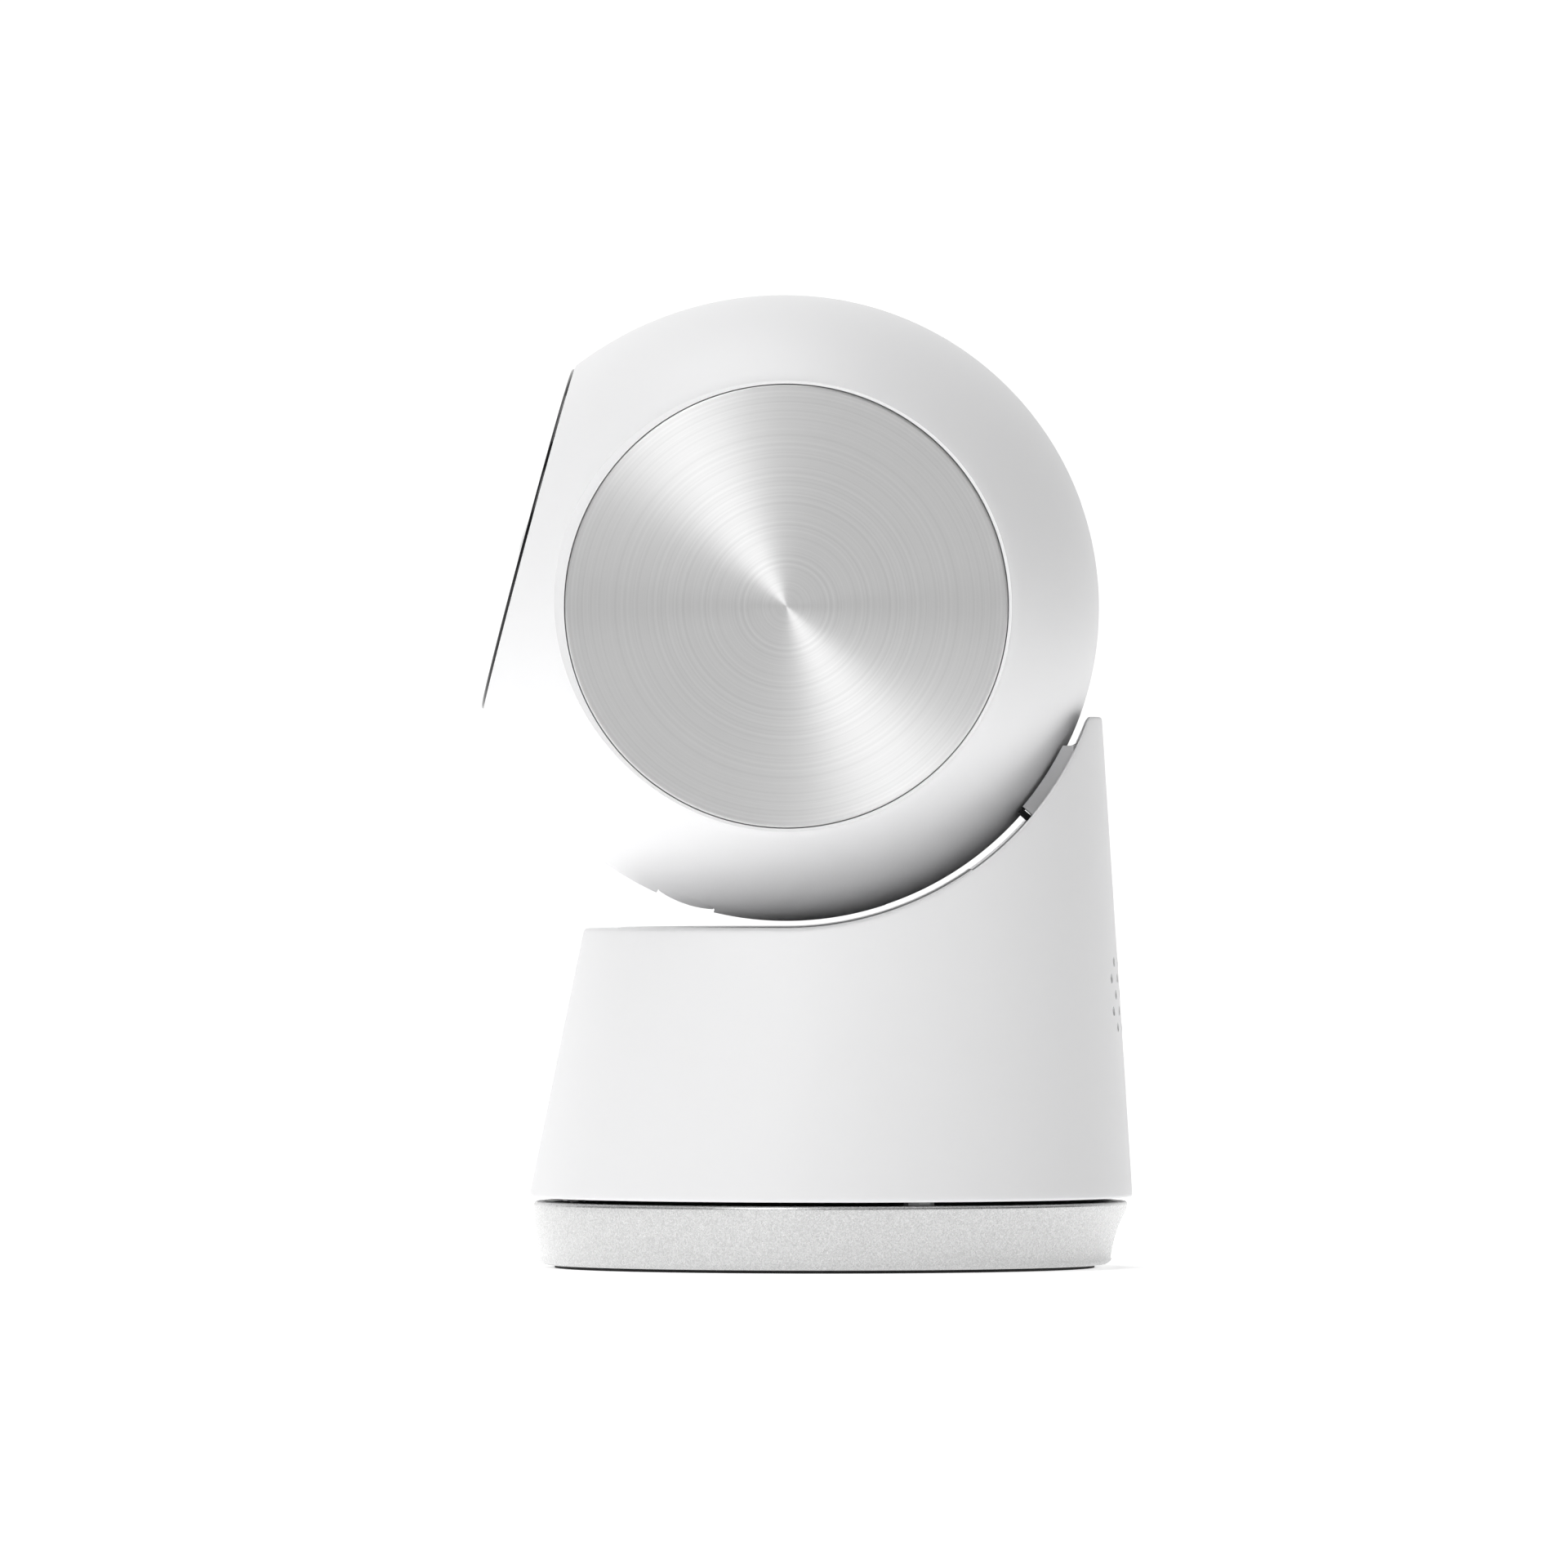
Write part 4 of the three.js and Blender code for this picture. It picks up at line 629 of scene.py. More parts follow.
# %% Card door
def build_door():
    gap, roll, thick = 0.14, 0.25, 1.6
    outline = racetrack(DOOR_SIZE[0] - 2 * gap, DOOR_SIZE[1] - 2 * gap, 24)
    share = np.array([1, 1, 0.995, 0.985, 0.96, 0.9, 0.8, 0.65, 0.5, 0.35, 0.2, 0.08, 0])
    sink = np.array([thick, roll, roll * 0.45, roll * 0.12, 0, 0, 0, 0, 0, 0, 0, 0, 0]) + 0.03
    grid = outline[:, None, :] * share[None, :, None]
    height = np.sqrt(HEAD_R**2 - (grid**2).sum(-1)) - sink[None, :]
    top = np.concatenate([grid, height[..., None]], axis=-1)
    under = outline[:, None, :] * np.array([1, 0.6, 0.2, 0])[None, :, None]
    depth = np.sqrt(HEAD_R**2 - (under**2).sum(-1)) - thick - 0.03
    bottom = np.concatenate([under, depth[..., None]], axis=-1)
    outside = sheet_quads(door_frame(top), True)
    inside = sheet_quads(door_frame(bottom), True)[:, ::-1]
    door = piece_from_quads("card_door_plug", np.concatenate([outside, inside]))
    notch, faces = prism(racetrack(3.4, 1.4, 8), HEAD_R - 0.7, HEAD_R + 1)
    notch[:, 1] -= DOOR_SIZE[1] / 2 - 0.5
    return carve(door, piece_from("notch_tool", door_frame(notch), faces))


settle(build_door(), "head", "white_plastic", "card_door")

# %% [markdown]
# ## Turned side discs
# The rings are cut into the metal itself: the profile is a fine saw tooth over the flat, with a bevelled rim.
# A UV map runs once round the disc, so that the tangent of the shader follows the rings.


# %% Side discs
RING_PITCH = 0.35
RING_DEPTH = 0.012
DISC_TURNS = 160


def disc_profile():
    """From the back's middle over the rim and in along the rings to the front's middle."""
    count = int((DISC_R - 0.5) / RING_PITCH)
    edges = DISC_R - 0.45 - np.arange(count) * RING_PITCH
    rings = np.stack([edges, edges - RING_PITCH / 2], axis=1)
    heights = np.stack([np.full(count, DISC_X), np.full(count, DISC_X - RING_DEPTH)], axis=1)
    rim = [(0, DISC_X - 1.9), (DISC_R - 0.1, DISC_X - 1.9), (DISC_R, DISC_X - 1.8), (DISC_R, DISC_X - 0.22)]
    rim += [(DISC_R - 0.05, DISC_X - 0.09), (DISC_R - 0.16, DISC_X - 0.02), (DISC_R - 0.3, DISC_X)]
    return rim + list(zip(rings.ravel(), heights.ravel())) + [(0, DISC_X)]


def map_round(piece):
    """UV map named round: u is the angle about the tilt axis, v the distance from it."""
    mesh = piece.data
    corners = np.zeros(len(mesh.loops), int)
    mesh.loops.foreach_get("vertex_index", corners)
    places = np.zeros(len(mesh.vertices) * 3)
    mesh.vertices.foreach_get("co", places)
    places = places.reshape(-1, 3)[corners] / MM
    y, z = places[:, 1] - HEAD_Y, places[:, 2] - HEAD_Z
    angle = np.arctan2(z, y) / (2 * np.pi)
    starts = np.zeros(len(mesh.polygons), int)
    totals = np.zeros(len(mesh.polygons), int)
    mesh.polygons.foreach_get("loop_start", starts)
    mesh.polygons.foreach_get("loop_total", totals)
    owner = np.repeat(np.arange(len(starts)), totals)
    first = angle[starts][owner]
    angle += np.round(first - angle)
    centre = np.hypot(y, z) < 1e-4
    angle[centre] = first[centre]
    uv = mesh.uv_layers.new(name="round")
    uv.data.foreach_set("uv", np.stack([angle, np.hypot(y, z) / DISC_R], axis=1).ravel())


for side, label in ((1, "left"), (-1, "right")):
    quads = along_side(closed_turned(disc_profile(), DISC_TURNS), side)
    disc = piece_from_quads(f"turned_disc_{label}", quads, sharp=60)
    map_round(disc)
    settle(disc, "head", "turned_metal", f"side_disc_{label}")

# %% [markdown]
# ## Face glass and lens
# The face is one round plate of black printed glass with a ground edge. A clear dome stands a little proud in
# its middle, with the coated front element under it in a black barrel.

# %% Face and lens
GLASS_R = GLASS_SEAT_R - 0.15
GLASS_FRONT = FACE + 0.4
LENS_DROP = 0.4
LENS_R, LENS_RISE = 3.5, 0.67
ELEMENT_R, ELEMENT_RISE = 2.35, 0.16


def cap_heights(radii, radius, rise):
    """Height of a spherical cap over its rim plane."""
    ball = (radius**2 + rise**2) / (2 * rise)
    return rise - ball + np.sqrt(ball**2 - radii**2)


def build_glass():
    bore = LENS_R + 0.12
    back, front = GLASS_FRONT - 1.8, GLASS_FRONT
    rim = [(0, 0.35), (0.04, 0.2), (0.14, 0.07), (0.32, 0.01), (0.6, 0), (0.8, 0)]
    profile = [(bore, back), (GLASS_R, back), *((GLASS_R - inset, front - sink) for inset, sink in rim)]
    profile += [(bore + 0.4, front), (bore + 0.15, front - 0.02)]
    profile += [(bore + 0.04, front - 0.08), (bore, front - 0.2)]
    grid = turned(profile, 192)
    share = np.clip((GLASS_R - np.hypot(grid[..., 0], grid[..., 1])) / (GLASS_R - bore), 0, 1)
    grid[..., 1] -= LENS_DROP * share
    return piece_from_quads("face_plate", sheet_quads(along_face(grid), True, True), sharp=50)


def build_dome():
    foot, hollow_r, crown = GLASS_FRONT - 2.0, LENS_R - 0.45, 0.12
    outer = np.linspace(1, 0, 12) * LENS_R
    inner = np.linspace(0, 1, 12) * hollow_r
    skin = [(LENS_R, foot), (LENS_R, GLASS_FRONT - 0.1)]
    skin += list(zip(outer, GLASS_FRONT + cap_heights(outer, LENS_R, LENS_RISE)))
    hollow = list(zip(inner, GLASS_FRONT - crown + cap_heights(inner, hollow_r, LENS_RISE - crown)))
    hollow += [(hollow_r, foot)]
    grid = turned(skin + hollow, 96)
    return piece_from_quads("lens_cap", sheet_quads(along_face(grid, LENS_DROP), True, True), sharp=50)


def build_element():
    radii = np.linspace(1, 0, 10) * ELEMENT_R
    profile = [(0, GLASS_FRONT - 6), (ELEMENT_R, GLASS_FRONT - 6)]
    profile += list(zip(radii, GLASS_FRONT + cap_heights(radii, ELEMENT_R, ELEMENT_RISE)))
    return piece_from_quads("front_element", along_face(closed_turned(profile, 64), LENS_DROP))


settle(build_glass(), "head", "black_glass", "face_glass")
settle(build_dome(), "head", "clear_lens", "lens_dome")
settle(build_element(), "head", "coated_lens", "lens_element")

# %% [markdown]
# ## Housing
# The housing is a cone that leans back as it rises. Its top is one height field: a level deck in front, then
# a round cradle under the ball, up to a thin fin. Each direction round the housing gets a closed loop of
# points, and behind the lid the loop opens into a rear deck that bridges from side to side.


# %% Housing formulas
def cone_radius(z, inset=0.0):
    return HOUSING_R - TAPER * (z - HOUSING_Z) - inset


def cone_middle(z):
    return LEAN * (z - HOUSING_Z)


def cone_point(turn, z, inset=0.0):
    """Point of the cone, moved in by an inset, at a height and in a direction."""
    radius = cone_radius(z, inset)
    x, y = radius * np.cos(turn), cone_middle(z) + radius * np.sin(turn)
    return np.stack(np.broadcast_arrays(x, y, z), axis=-1)


def soft_min(a, b, blend):
    """The smaller of two heights with a rounded corner where they cross."""
    share = np.clip(0.5 + 0.5 * (b - a) / blend, 0, 1)
    return b + (a - b) * share - blend * share * (1 - share)


def top_height(y, depth=0.0):
    """Height of the deck, the cradle or the fin's top at a distance behind the pan axis."""
    radius = CRADLE_R + depth
    behind = np.clip(y - HEAD_Y, 0, radius * 0.985)
    cradle = HEAD_Z - np.sqrt(radius**2 - behind**2)
    return soft_min(cradle, FIN_TOP - depth + 0 * y, 0.9)


def rim_point(angle, inset, depth=0.0):
    """Where the cone, moved in by an inset, meets the top surface, moved down by a depth."""
    z = np.full(np.broadcast(angle, inset).shape, DECK_Z)
    for _ in range(60):
        y = cone_middle(z) + cone_radius(z, inset) * np.sin(angle)
        z = 0.5 * z + 0.5 * (top_height(y) - depth)
    return cone_point(angle, z, inset)


LID_INSET = 4.2
LID_DEPTH = 2.0
LID_END_Y = node_box("cradle_cover")[1][1] + 0.15


def housing_angles():
    """Directions round the housing, closer together where the rim climbs the fin, with exact lid corners."""
    right = np.linspace(-np.pi / 2, np.pi / 2, 4001)
    reach = rim_point(right, LID_INSET)[:, 1]
    corner = np.interp(LID_END_Y, reach, right)
    front = np.linspace(-np.pi / 2, corner, 70)[:-1]
    rear = np.linspace(corner, np.pi / 2, 110)
    half = np.concatenate([front, rear])
    return half, len(front)


HALF_ANGLES, CORNER = housing_angles()


def housing_loop(angle):
    """Points for each direction: under edge, outer wall, rim's fillet, roof band and the lid's upper edge."""
    turn = angle[:, None]
    foot, fillet = 0.4, 0.45
    roll = np.linspace(0, np.pi / 2, 6)[None, :]
    bottom_inset = np.concatenate([[[WALL, 1.0]], foot * (1 - np.sin(roll))], axis=1)
    bottom_z = HOUSING_Z + np.concatenate([[[0, 0]], foot * (1 - np.cos(roll))], axis=1)
    rim_top = rim_point(turn, np.zeros((1, 1)), fillet)[..., 2]
    share = np.linspace(0, 1, 46)[None, 1:]
    wall_z = HOUSING_Z + foot + (rim_top - HOUSING_Z - foot) * share
    wall = cone_point(turn, wall_z)
    bottom = cone_point(turn, bottom_z, bottom_inset)
    over = [rim_point(turn, fillet * (1 - np.cos(a)), fillet * (1 - np.sin(a))) for a in roll[0, 1:]]
    over = np.concatenate(over, axis=1)
    band = rim_point(turn, np.linspace(fillet, LID_INSET - 0.15, 14)[None, 1:])
    edge = rim_point(turn, np.array([[LID_INSET]]), 0.15)
    return bottom, wall, over, band, edge


def inner_points(angle):
    """The lid wall's foot, and the upper and lower end of the outer wall's inside, as columns of points."""
    turn = angle[:, None]
    foot = rim_point(turn, np.array([[LID_INSET]]), LID_DEPTH)
    shelf = rim_point(turn, np.array([[WALL + 0.6]]), LID_DEPTH + 1.4)
    return foot, shelf, cone_point(turn, np.full(turn.shape, HOUSING_Z), WALL)


def build_housing():
    mirror = np.pi - HALF_ANGLES[::-1][1:-1]
    angles = np.concatenate([HALF_ANGLES, mirror])
    count = len(HALF_ANGLES)
    bottom, wall, over, band, edge = housing_loop(angles)
    foot, shelf, low = inner_points(angles)
    skin = np.concatenate([bottom, wall, over, band, edge], axis=1)
    inside = np.concatenate([foot, shelf, low], axis=1)
    quads = [sheet_quads(skin, True), sheet_quads(inside, True)]
    here = np.arange(len(angles))
    after = (here + 1) % len(angles)
    rear = (here >= CORNER) & (here <= 2 * (count - 1) - CORNER)
    lid_wall = ~(rear & rear[after])
    i, j = here[lid_wall], after[lid_wall]
    quads.append(np.stack([edge[i, 0], edge[j, 0], foot[j, 0], foot[i, 0]], axis=1))
    rows = np.arange(CORNER, count)
    partner = (2 * (count - 1) - rows) % len(angles)
    across = np.linspace(0, 1, 25)[None, :, None]
    decks = [column[rows] * (1 - across) + column[partner] * across for column in (edge, foot)]
    quads += [sheet_quads(deck) for deck in decks]
    quads.append(sheet_quads(np.stack([decks[0][0], decks[1][0]])))
    return piece_from_quads("housing_body", np.concatenate(quads), sharp=35)


housing = build_housing()


# %% [markdown]
# ## Speaker and microphone holes
# Five staggered rows of holes follow the rear wall round its own axis. All the drills are one tool, because
# they don't touch each other, and one cut opens every hole.

# %% Speaker holes
SPEAKER_Z = 34.4
HOLE_R, HOLE_ROW = 0.6, 2.05
HOLE_PITCH = math.radians(6.9)
MICROPHONE_Z = 23.5


def drill(radius, inner, outer, angle, z, middle):
    """Round bar along a direction in the XY plane, from an inner to an outer distance from a middle."""
    ring = np.linspace(0, 2 * np.pi, 24, endpoint=False)
    outline = np.stack([radius * np.cos(ring), radius * np.sin(ring)], axis=1)
    vertices, faces = prism(outline, inner, outer)
    across, up, out = vertices.T
    x = out * math.cos(angle) - across * math.sin(angle)
    y = out * math.sin(angle) + across * math.cos(angle)
    return np.stack([x, y + middle, up + z], axis=1), faces


def joined(name, solids):
    """One mesh of several separate solids."""
    vertices, faces, start = [], [], 0
    for points, polygons in solids:
        vertices.append(points)
        faces += [[corner + start for corner in polygon] for polygon in polygons]
        start += len(points)
    return piece_from(name, np.concatenate(vertices), faces)


def hole_drills():
    inner, outer = HOUSING_R - 6, HOUSING_R + 2
    middle = cone_middle(SPEAKER_Z)
    solids = []
    for row, count in enumerate((4, 5, 4, 5, 4)):
        for i in range(count):
            angle = math.pi / 2 + (i - (count - 1) / 2) * HOLE_PITCH
            solids.append(drill(HOLE_R, inner, outer, angle, SPEAKER_Z + (row - 2) * HOLE_ROW, middle))
    solids.append(drill(0.5, inner, outer, -math.pi / 2, MICROPHONE_Z, cone_middle(MICROPHONE_Z)))
    return joined("drills", solids)


carve(housing, hole_drills(), sharp=35)

# %% [markdown]
# ## Neck
# The neck fills the gap between ball and cradle behind the tilt arm. Its outline in the YZ plane has a level
# top edge that sweeps into the cradle, and a ball a little larger than the head hollows its front. A dark
# boot closes its lower end.

# %% Neck
NECK_TOP, NECK_END, BOOT_END = (math.radians(v) for v in (26.1, 40.1, 41.5))
NECK_HALF = node_box("neck_cover")[1][0]
NECK_REACH = CRADLE_R + 3.2 + 0.5
NECK_LEDGE = 1.4
PASSAGE_ANGLE, PASSAGE_HALF = math.radians(33.5), 3.8


def below_rear(radius, angle):
    """Point at a radius from the ball's centre, at an angle below the rear horizontal, in (y, z)."""
    return np.stack([HEAD_Y + radius * np.cos(angle), HEAD_Z - radius * np.sin(angle)], axis=-1)


def ball_of(radius):
    turn = np.linspace(0, np.pi, 97)
    profile = np.stack([radius * np.sin(turn), -radius * np.cos(turn)], axis=1)
    profile[[0, -1], 0] = 0
    points = closed_turned(profile, 192)
    return piece_from_quads("ball_tool", points + np.array([0, HEAD_Y, HEAD_Z]))


def extruded(name, outline, low, high):
    """Prism of an outline in (y, z) carried along X."""
    vertices, faces = prism(outline, low, high)
    return piece_from(name, vertices[:, [2, 0, 1]], faces)


def build_neck():
    top = below_rear(HEAD_R, np.array(NECK_TOP))
    end = below_rear(CRADLE_R, np.array(NECK_TOP - math.radians(1.7)))
    knee = top + np.array([0.8 * NECK_LEDGE, 0])
    t = np.linspace(0, 1, 14)[:, None]
    sweep = (1 - t) ** 2 * top + 2 * t * (1 - t) * knee + t**2 * end
    start = NECK_TOP - math.radians(3)
    back = below_rear(np.array([CRADLE_R + 0.3, NECK_REACH]), np.array([start, start]))
    arc = below_rear(NECK_REACH, np.linspace(start, NECK_END, 12)[1:])
    inner = below_rear(np.array([HEAD_R - 2]), np.array([NECK_END]))
    outline = np.concatenate([[top - np.array([NECK_LEDGE, 0])], sweep, back, arc, inner])
    neck = extruded("neck_block", outline, -NECK_HALF, NECK_HALF)
    carve(neck, housing_room(), operation="INTERSECT")
    along = np.array([math.cos(PASSAGE_ANGLE), -math.sin(PASSAGE_ANGLE)])
    across = np.array([-along[1], along[0]]) * PASSAGE_HALF
    centre = np.array([HEAD_Y, HEAD_Z])
    corners = [centre + r * along + h * across for r, h in ((20, 1), (20, -1), (70, -1), (70, 1))]
    slot = extruded("arm_passage", np.array(corners), -ARM_HALF - 0.3, ARM_HALF + 0.3)
    carve(neck, ball_of(HEAD_R + 0.5), slot)
    return soften(neck, 0.18, segments=2, angle=50)


def housing_room():
    """Inside of the housing's outer wall, less a clearance, as a leaning cone."""
    turn = np.linspace(0, 2 * np.pi, 128, endpoint=False)[:, None]
    z = np.array([[DECK_Z - 5, FIN_TOP + 5]])
    wall = cone_point(turn, z, WALL + 0.3)
    middle = np.stack([0 * z, cone_middle(z), z], axis=-1) * np.ones((128, 1, 1))
    grid = np.concatenate([middle[:, :1], wall, middle[:, 1:]], axis=1)
    return piece_from_quads("room_tool", sheet_quads(grid, True))


def build_boot():
    angles = np.linspace(NECK_END + math.radians(0.3), BOOT_END, 5)
    outer = below_rear(NECK_REACH - 0.3, angles)
    inner = below_rear(HEAD_R - 3, angles[::-1])
    boot = extruded("neck_seal", np.concatenate([outer, inner]), -NECK_HALF + 0.5, NECK_HALF - 0.5)
    return carve(boot, ball_of(HEAD_R + 0.45))


opening_angles = np.linspace(NECK_TOP - math.radians(3.5), BOOT_END + math.radians(0.5), 14)
opening_far = below_rear(NECK_REACH + 1, opening_angles)
opening_near = below_rear(HEAD_R, opening_angles[::-1])
opening = np.concatenate([opening_far, opening_near])
opening_tool = extruded("neck_opening", opening, -NECK_HALF - 0.3, NECK_HALF + 0.3)
carve(opening_tool, housing_room(), operation="INTERSECT")
carve(housing, opening_tool, sharp=35)
settle(housing, "turret", "white_plastic", "housing_shell")
settle(build_neck(), "turret", "white_plastic", "neck_cover")
settle(build_boot(), "turret", "rubber", "neck_boot")

# %% [markdown]
# ## Cradle cover
# The cover lies in the roof's recess and stands a hair proud of it. Every row runs straight from side to side
# at one distance behind the axis, so the cover bends only one way, round the ball.


# %% Cradle cover
def build_cover():
    inset = LID_INSET + 0.15
    rows = HALF_ANGLES[: CORNER + 1]
    reach = rim_point(rows, np.full(rows.shape, inset))[:, 1]
    stop = np.interp(LID_END_Y - 0.15, reach, rows)
    rows = np.append(rows[rows < stop - 1e-4], stop)[:, None]
    edge = [(inset, 1.6), (inset, 0.15), (inset + 0.03, 0.03), (inset + 0.12, -0.09), (inset + 0.28, -0.15)]
    side = np.concatenate([rim_point(rows, np.array([[i]]), d) for i, d in edge], axis=1)
    mirror = side[:, ::-1] * np.array([-1, 1, 1])
    share = np.linspace(0, 1, 26)[None, 1:-1, None]
    top = side[:, -1:] * (1 - share) + mirror[:, :1] * share
    under = mirror[:, -1:] * (1 - share) + side[:, :1] * share
    grid = np.concatenate([side, top, mirror, under], axis=1)
    vertices, faces = weld(sheet_quads(grid, wrap_cols=True))
    last = {tuple(np.round(point, 5)): None for point in grid[-1]}
    index = {tuple(np.round(point, 5)): i for i, point in enumerate(vertices)}
    faces.append([index[key] for key in last])
    return piece_from("cover_plate", vertices, faces, sharp=35)


settle(build_cover(), "turret", "white_plastic", "cradle_cover")

# %% [markdown]
# ## Base
# The base is a shallow leaning cup. Its profile turns round the pan axis while its centre slides back as it
# rises, so the front edge undercuts more than the rear one. The lower edge is rolled, and the rim has a
# fillet.

# %% Base
BASE_LOW, BASE_TOP = base_low[2] + 0.3, base_high[2]
BASE_R = base_high[0]
BASE_DRAFT, BASE_SHIFT = 1.45, 0.8
BASE_HEIGHT = BASE_TOP - BASE_LOW
FLOOR_TOP = BASE_LOW + 1.8
FOOT_R = BASE_R - BASE_DRAFT - 2.0
INLET_Z = BASE_LOW + 0.44 * BASE_HEIGHT
INLET_MOUTH, INLET_DEPTH = 36.19, 4.8
POCKET, POCKET_FLOOR, POCKET_ROOF = (14.8, 8.0), 1.3, 7.9
INLET, SOCKET_HOLE = (12.4, 5.6), (9.5, 3.8)
BUTTON_ANGLE, BUTTON_R, BUTTON_GAP = math.radians(118), 1.4, 0.15
BUTTON_Z = (FLOOR_TOP + 7.0) / 2


def base_grid(profile, steps=256):
    """Grid of (radius inset, height) points turned round the leaning axis of the base."""
    profile = np.asarray(profile, float)
    turn = np.linspace(0, 2 * np.pi, steps, endpoint=False)[:, None]
    inset, z = profile[None, :, 0], profile[None, :, 1]
    share = (z - BASE_LOW) / BASE_HEIGHT
    radius = np.maximum(BASE_R - BASE_DRAFT * (1 - share) - inset, 0)
    shift = -BASE_SHIFT * (1 - share)
    return np.stack([radius * np.cos(turn), shift + radius * np.sin(turn), z + 0 * turn], axis=-1)


def base_profile():
    """Outline from the middle of the floor, under the foot recess, up the outside and down the inside."""
    far = 2 * BASE_R
    roll = np.linspace(0, np.pi / 2, 8)
    low = [(0.9 * (1 - math.sin(a)), BASE_LOW + 0.9 * (1 - math.cos(a))) for a in roll]
    wall = [(0, BASE_LOW + 0.9 + (BASE_HEIGHT - 1.4) * s) for s in np.linspace(0, 1, 8)[1:]]
    top = [(0.5 * (1 - math.cos(a)), BASE_TOP - 0.5 * (1 - math.sin(a))) for a in roll[1:]]
    recess = [(far, BASE_LOW + 0.5), (1.7, BASE_LOW + 0.5), (1.7, BASE_LOW)]
    return recess + low + wall + top + [(1.8, BASE_TOP), (1.8, FLOOR_TOP), (far, FLOOR_TOP)]


def lug_solid(angle):
    outline = np.array([(-3.5, -2.5), (3.5, -2.5), (3.5, 2.5), (-3.5, 2.5)])
    vertices, faces = prism(outline, 0.1, FLOOR_TOP - 0.5)
    orbit = FOOT_R - 4.5
    out, across = vertices[:, 1] + orbit, vertices[:, 0]
    x = out * math.cos(angle) - across * math.sin(angle)
    y = out * math.sin(angle) + across * math.cos(angle) - BASE_SHIFT
    return np.stack([x, y, vertices[:, 2]], axis=1), faces


def inlet_solid(size, low, high):
    """Racetrack prism along Y at the power inlet."""
    vertices, faces = prism(racetrack(*size, 20), low, high)
    return np.stack([vertices[:, 0], vertices[:, 2], vertices[:, 1] + INLET_Z], axis=1), faces


def base_slab(name, low, high):
    """Cutter that fills the base's room between two heights."""
    outline = [(99, low), (-9, low), (-9, high), (99, high)]
    return piece_from_quads(name, sheet_quads(base_grid(outline), True))


def build_base():
    base = piece_from_quads("base_cup", sheet_quads(base_grid(base_profile()), True), sharp=35)
    lugs = joined("lugs", [lug_solid(math.radians(a)) for a in (45, 135, 225, 315)])
    floor = INLET_MOUTH - INLET_DEPTH
    pocket = piece_from("pocket", *inlet_solid(POCKET, floor - 1.2, INLET_MOUTH - 1.4))
    carve(pocket, base_slab("roof_tool", POCKET_ROOF, 20), base_slab("low_tool", -9, POCKET_FLOOR))
    carve(base, lugs, pocket, operation="UNION", sharp=35)
    mouth = piece_from("mouth", *inlet_solid(INLET, floor, INLET_MOUTH + 3))
    socket = piece_from("socket", *inlet_solid(SOCKET_HOLE, floor - 3, floor + 1))
    hole = piece_from("hole", *drill(BUTTON_R + BUTTON_GAP, 28, 42, BUTTON_ANGLE, BUTTON_Z, 0))
    return carve(base, mouth, socket, hole, sharp=35)


settle(build_base(), "base", "silver_paint", "base_shell")


# %% Reset button
def build_button():
    face = INLET_MOUTH - 0.5
    inner = face - 4.2
    profile = [(0, inner - 1), (2.0, inner - 1), (2.0, inner), (BUTTON_R, inner)]
    edge = [(0, 0.3), (0.06, 0.12), (0.2, 0.03), (0.45, 0), (BUTTON_R, 0)]
    profile += [(BUTTON_R - inset, face - sink) for inset, sink in edge]
    points = closed_turned(profile, 48)
    across, up, out = points[..., 0], points[..., 1], points[..., 2]
    c, s = math.cos(BUTTON_ANGLE), math.sin(BUTTON_ANGLE)
    quads = np.stack([out * c - across * s, out * s + across * c, up + BUTTON_Z], axis=-1)
    return piece_from_quads("reset_key", quads)


settle(build_button(), "reset_button_body", "black_plastic", "reset_button")

# %% [markdown]
# ## Pieces carried over
# Screws, boards, motors and gears keep their frame shapes and get their finishes from the record's slots.

# %% Carried-over finishes
for row in frame["record"]["subparts"]:
    node = frame["nodes"].get(row["node"])
    if node is not None and not node.hide_render:
        give_finish(node, row["material_slot"])

# %% [markdown]
# ## Studio
# A white room: a bright backdrop behind, a large soft key high on the left, and a darker side on the right
# that lets the ball turn away into shade. The world's brightness depends on direction only.


# %% Studio
def area_light(name, place, aim, size, energy):
    data = bpy.data.lights.new(name, "AREA")
    data.shape = "DISK"
    data.size = size
    data.energy = energy
    lamp = bpy.data.objects.new(name, data)
    bpy.context.scene.collection.objects.link(lamp)
    lamp.location = place
    gaze = np.array(aim) - np.array(place)
    pitch = math.atan2(gaze[2], math.hypot(gaze[0], gaze[1]))
    lamp.rotation_euler = (math.pi / 2 + pitch, 0, math.atan2(gaze[1], gaze[0]) - math.pi / 2)


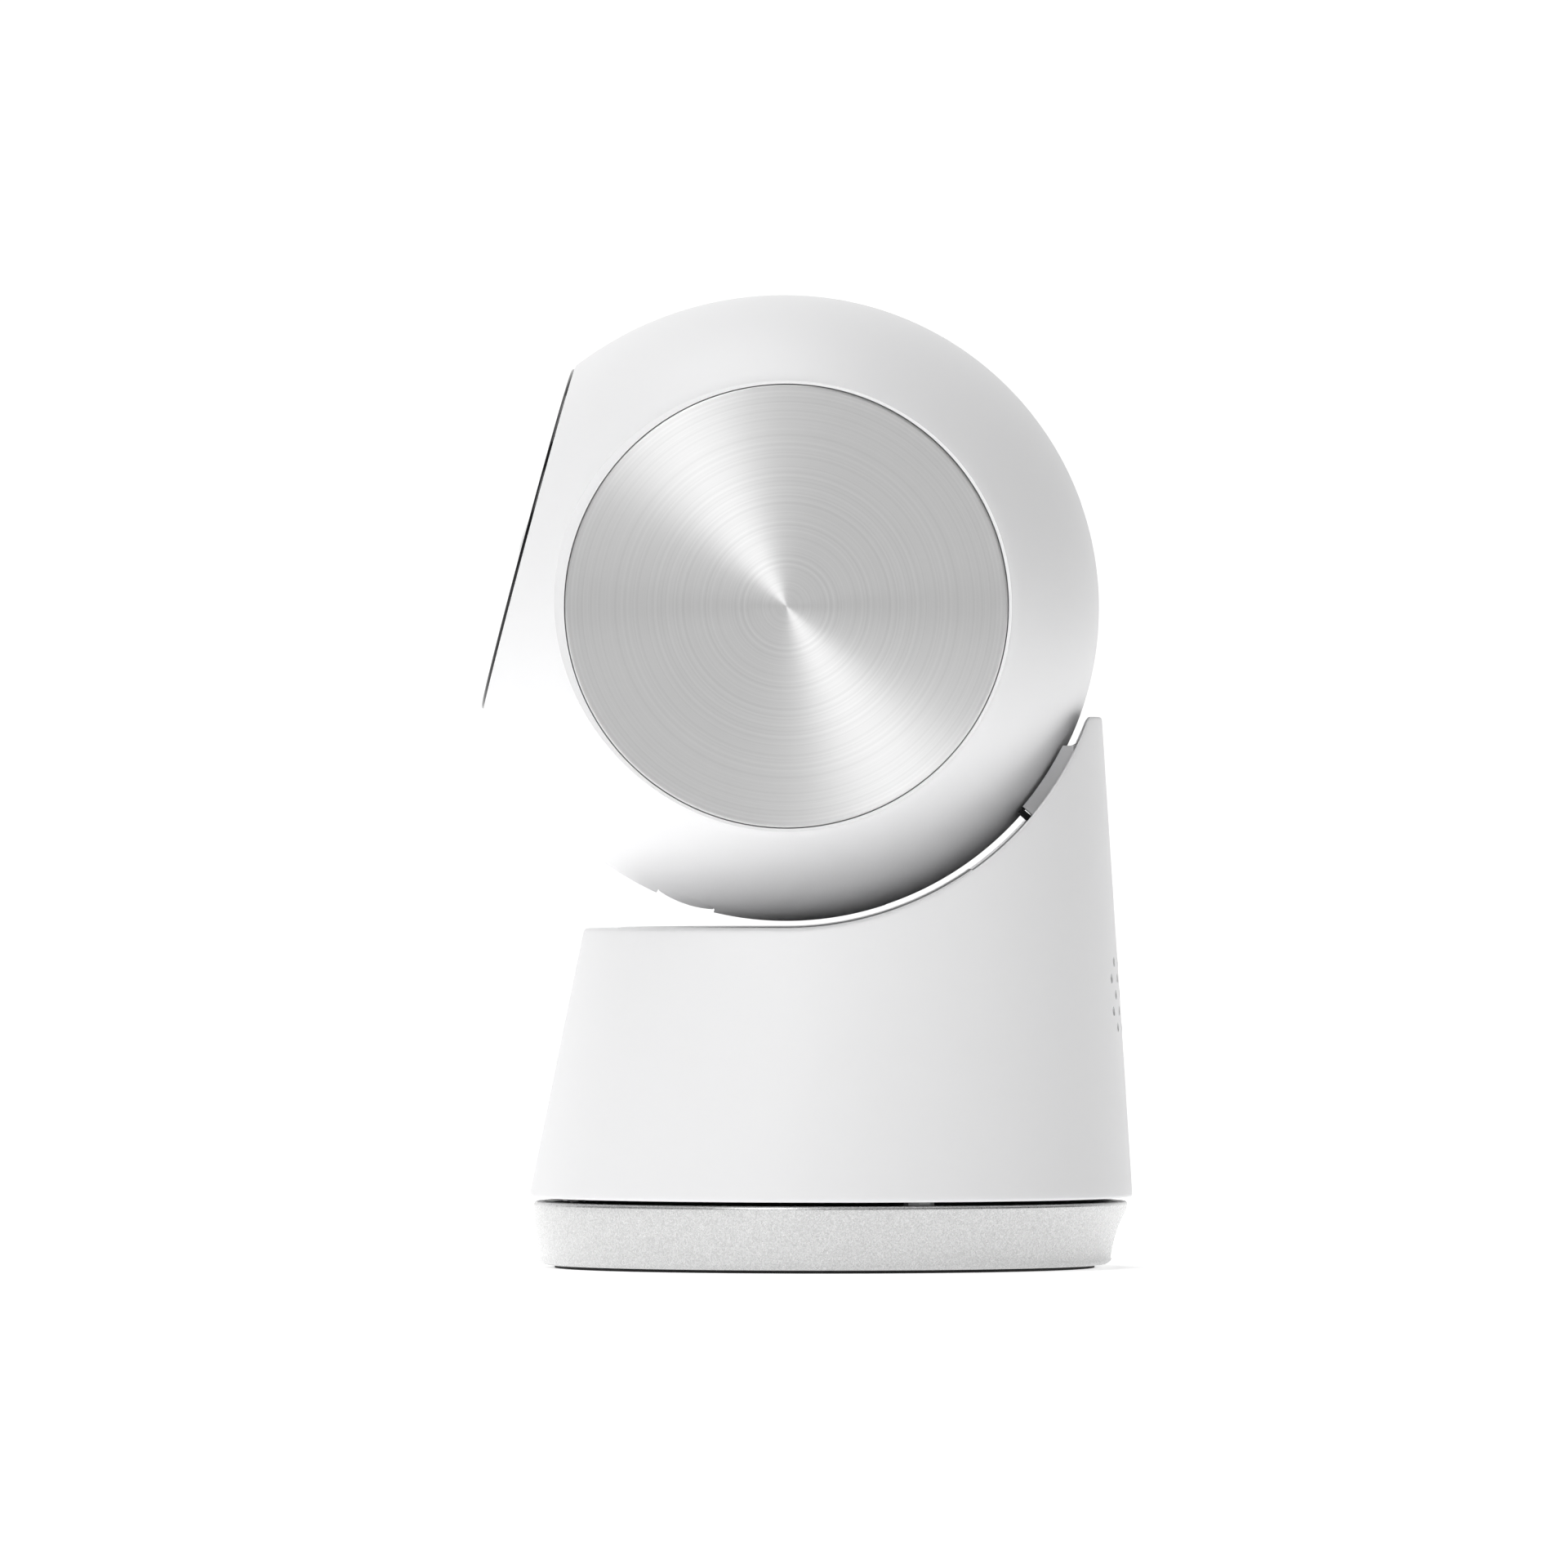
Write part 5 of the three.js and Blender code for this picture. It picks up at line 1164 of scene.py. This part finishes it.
def make_world():
    world = bpy.data.worlds.new("studio_world")
    world.use_nodes = True
    tree = world.node_tree
    background = tree.nodes["Background"]
    place = tree.nodes.new("ShaderNodeTexCoord")
    split = tree.nodes.new("ShaderNodeSeparateXYZ")
    tree.links.new(place.outputs["Generated"], split.inputs["Vector"])
    behind = map_range(tree, split.outputs["X"], 0.0, BACKDROP, -0.25, -0.85, "SMOOTHSTEP")
    left = map_range(tree, split.outputs["Y"], ROOM_RIGHT, ROOM_LEFT, 0.7, -0.7, "SMOOTHSTEP")
    tree.links.new(math_node(tree, "ADD", behind, left), background.inputs["Strength"])
    background.inputs["Color"].default_value = (1, 1, 1, 1)
    bpy.context.scene.world = world


BACKDROP, ROOM_RIGHT, ROOM_LEFT = 0.92, 0.14, 0.24
make_world()
area_light("key", (1.15, -0.62, 1.06), (0, 0, 0.08), 0.8, 7.8)
area_light("left", (1.7, -0.75, 0.12), (0, 0, 0.08), 0.35, 0.9)
area_light("top", (-0.2, -0.3, 1.9), (0, 0, 0.05), 1.4, 15)
bpy.context.scene.view_settings.view_transform = "Standard"

# %% [markdown]
# ## Floor
# A large pale sheet under the camera. It is bright enough to run into the backdrop, and keeps only the soft
# contact shadow of the base.


# %% Floor
def make_floor():
    steps = np.linspace(-FLOOR_REACH, FLOOR_REACH, 3)
    x, y = np.meshgrid(steps, steps, indexing="ij")
    points = np.stack([x, y, 0 * x], axis=-1) / MM
    floor = piece_from("studio_floor", *weld(sheet_quads(points)), outward=False)
    if floor.data.polygons[0].normal.z < 0:
        floor.data.flip_normals()
    material, tree, shader = new_material("floor_finish", Roughness=0.9)
    add_grain(tree, shader, (0.93, 0.93, 0.93), 0.05, 0.05, grains=300.0, drift=0.004)
    shader.inputs["Specular IOR Level"].default_value = 0.1
    shader.inputs["Emission Color"].default_value = (1, 1, 1, 1)
    shader.inputs["Emission Strength"].default_value = FLOOR_GLOW
    floor.data.materials.append(material)


FLOOR_REACH, FLOOR_GLOW = 2.0, 0.56
make_floor()
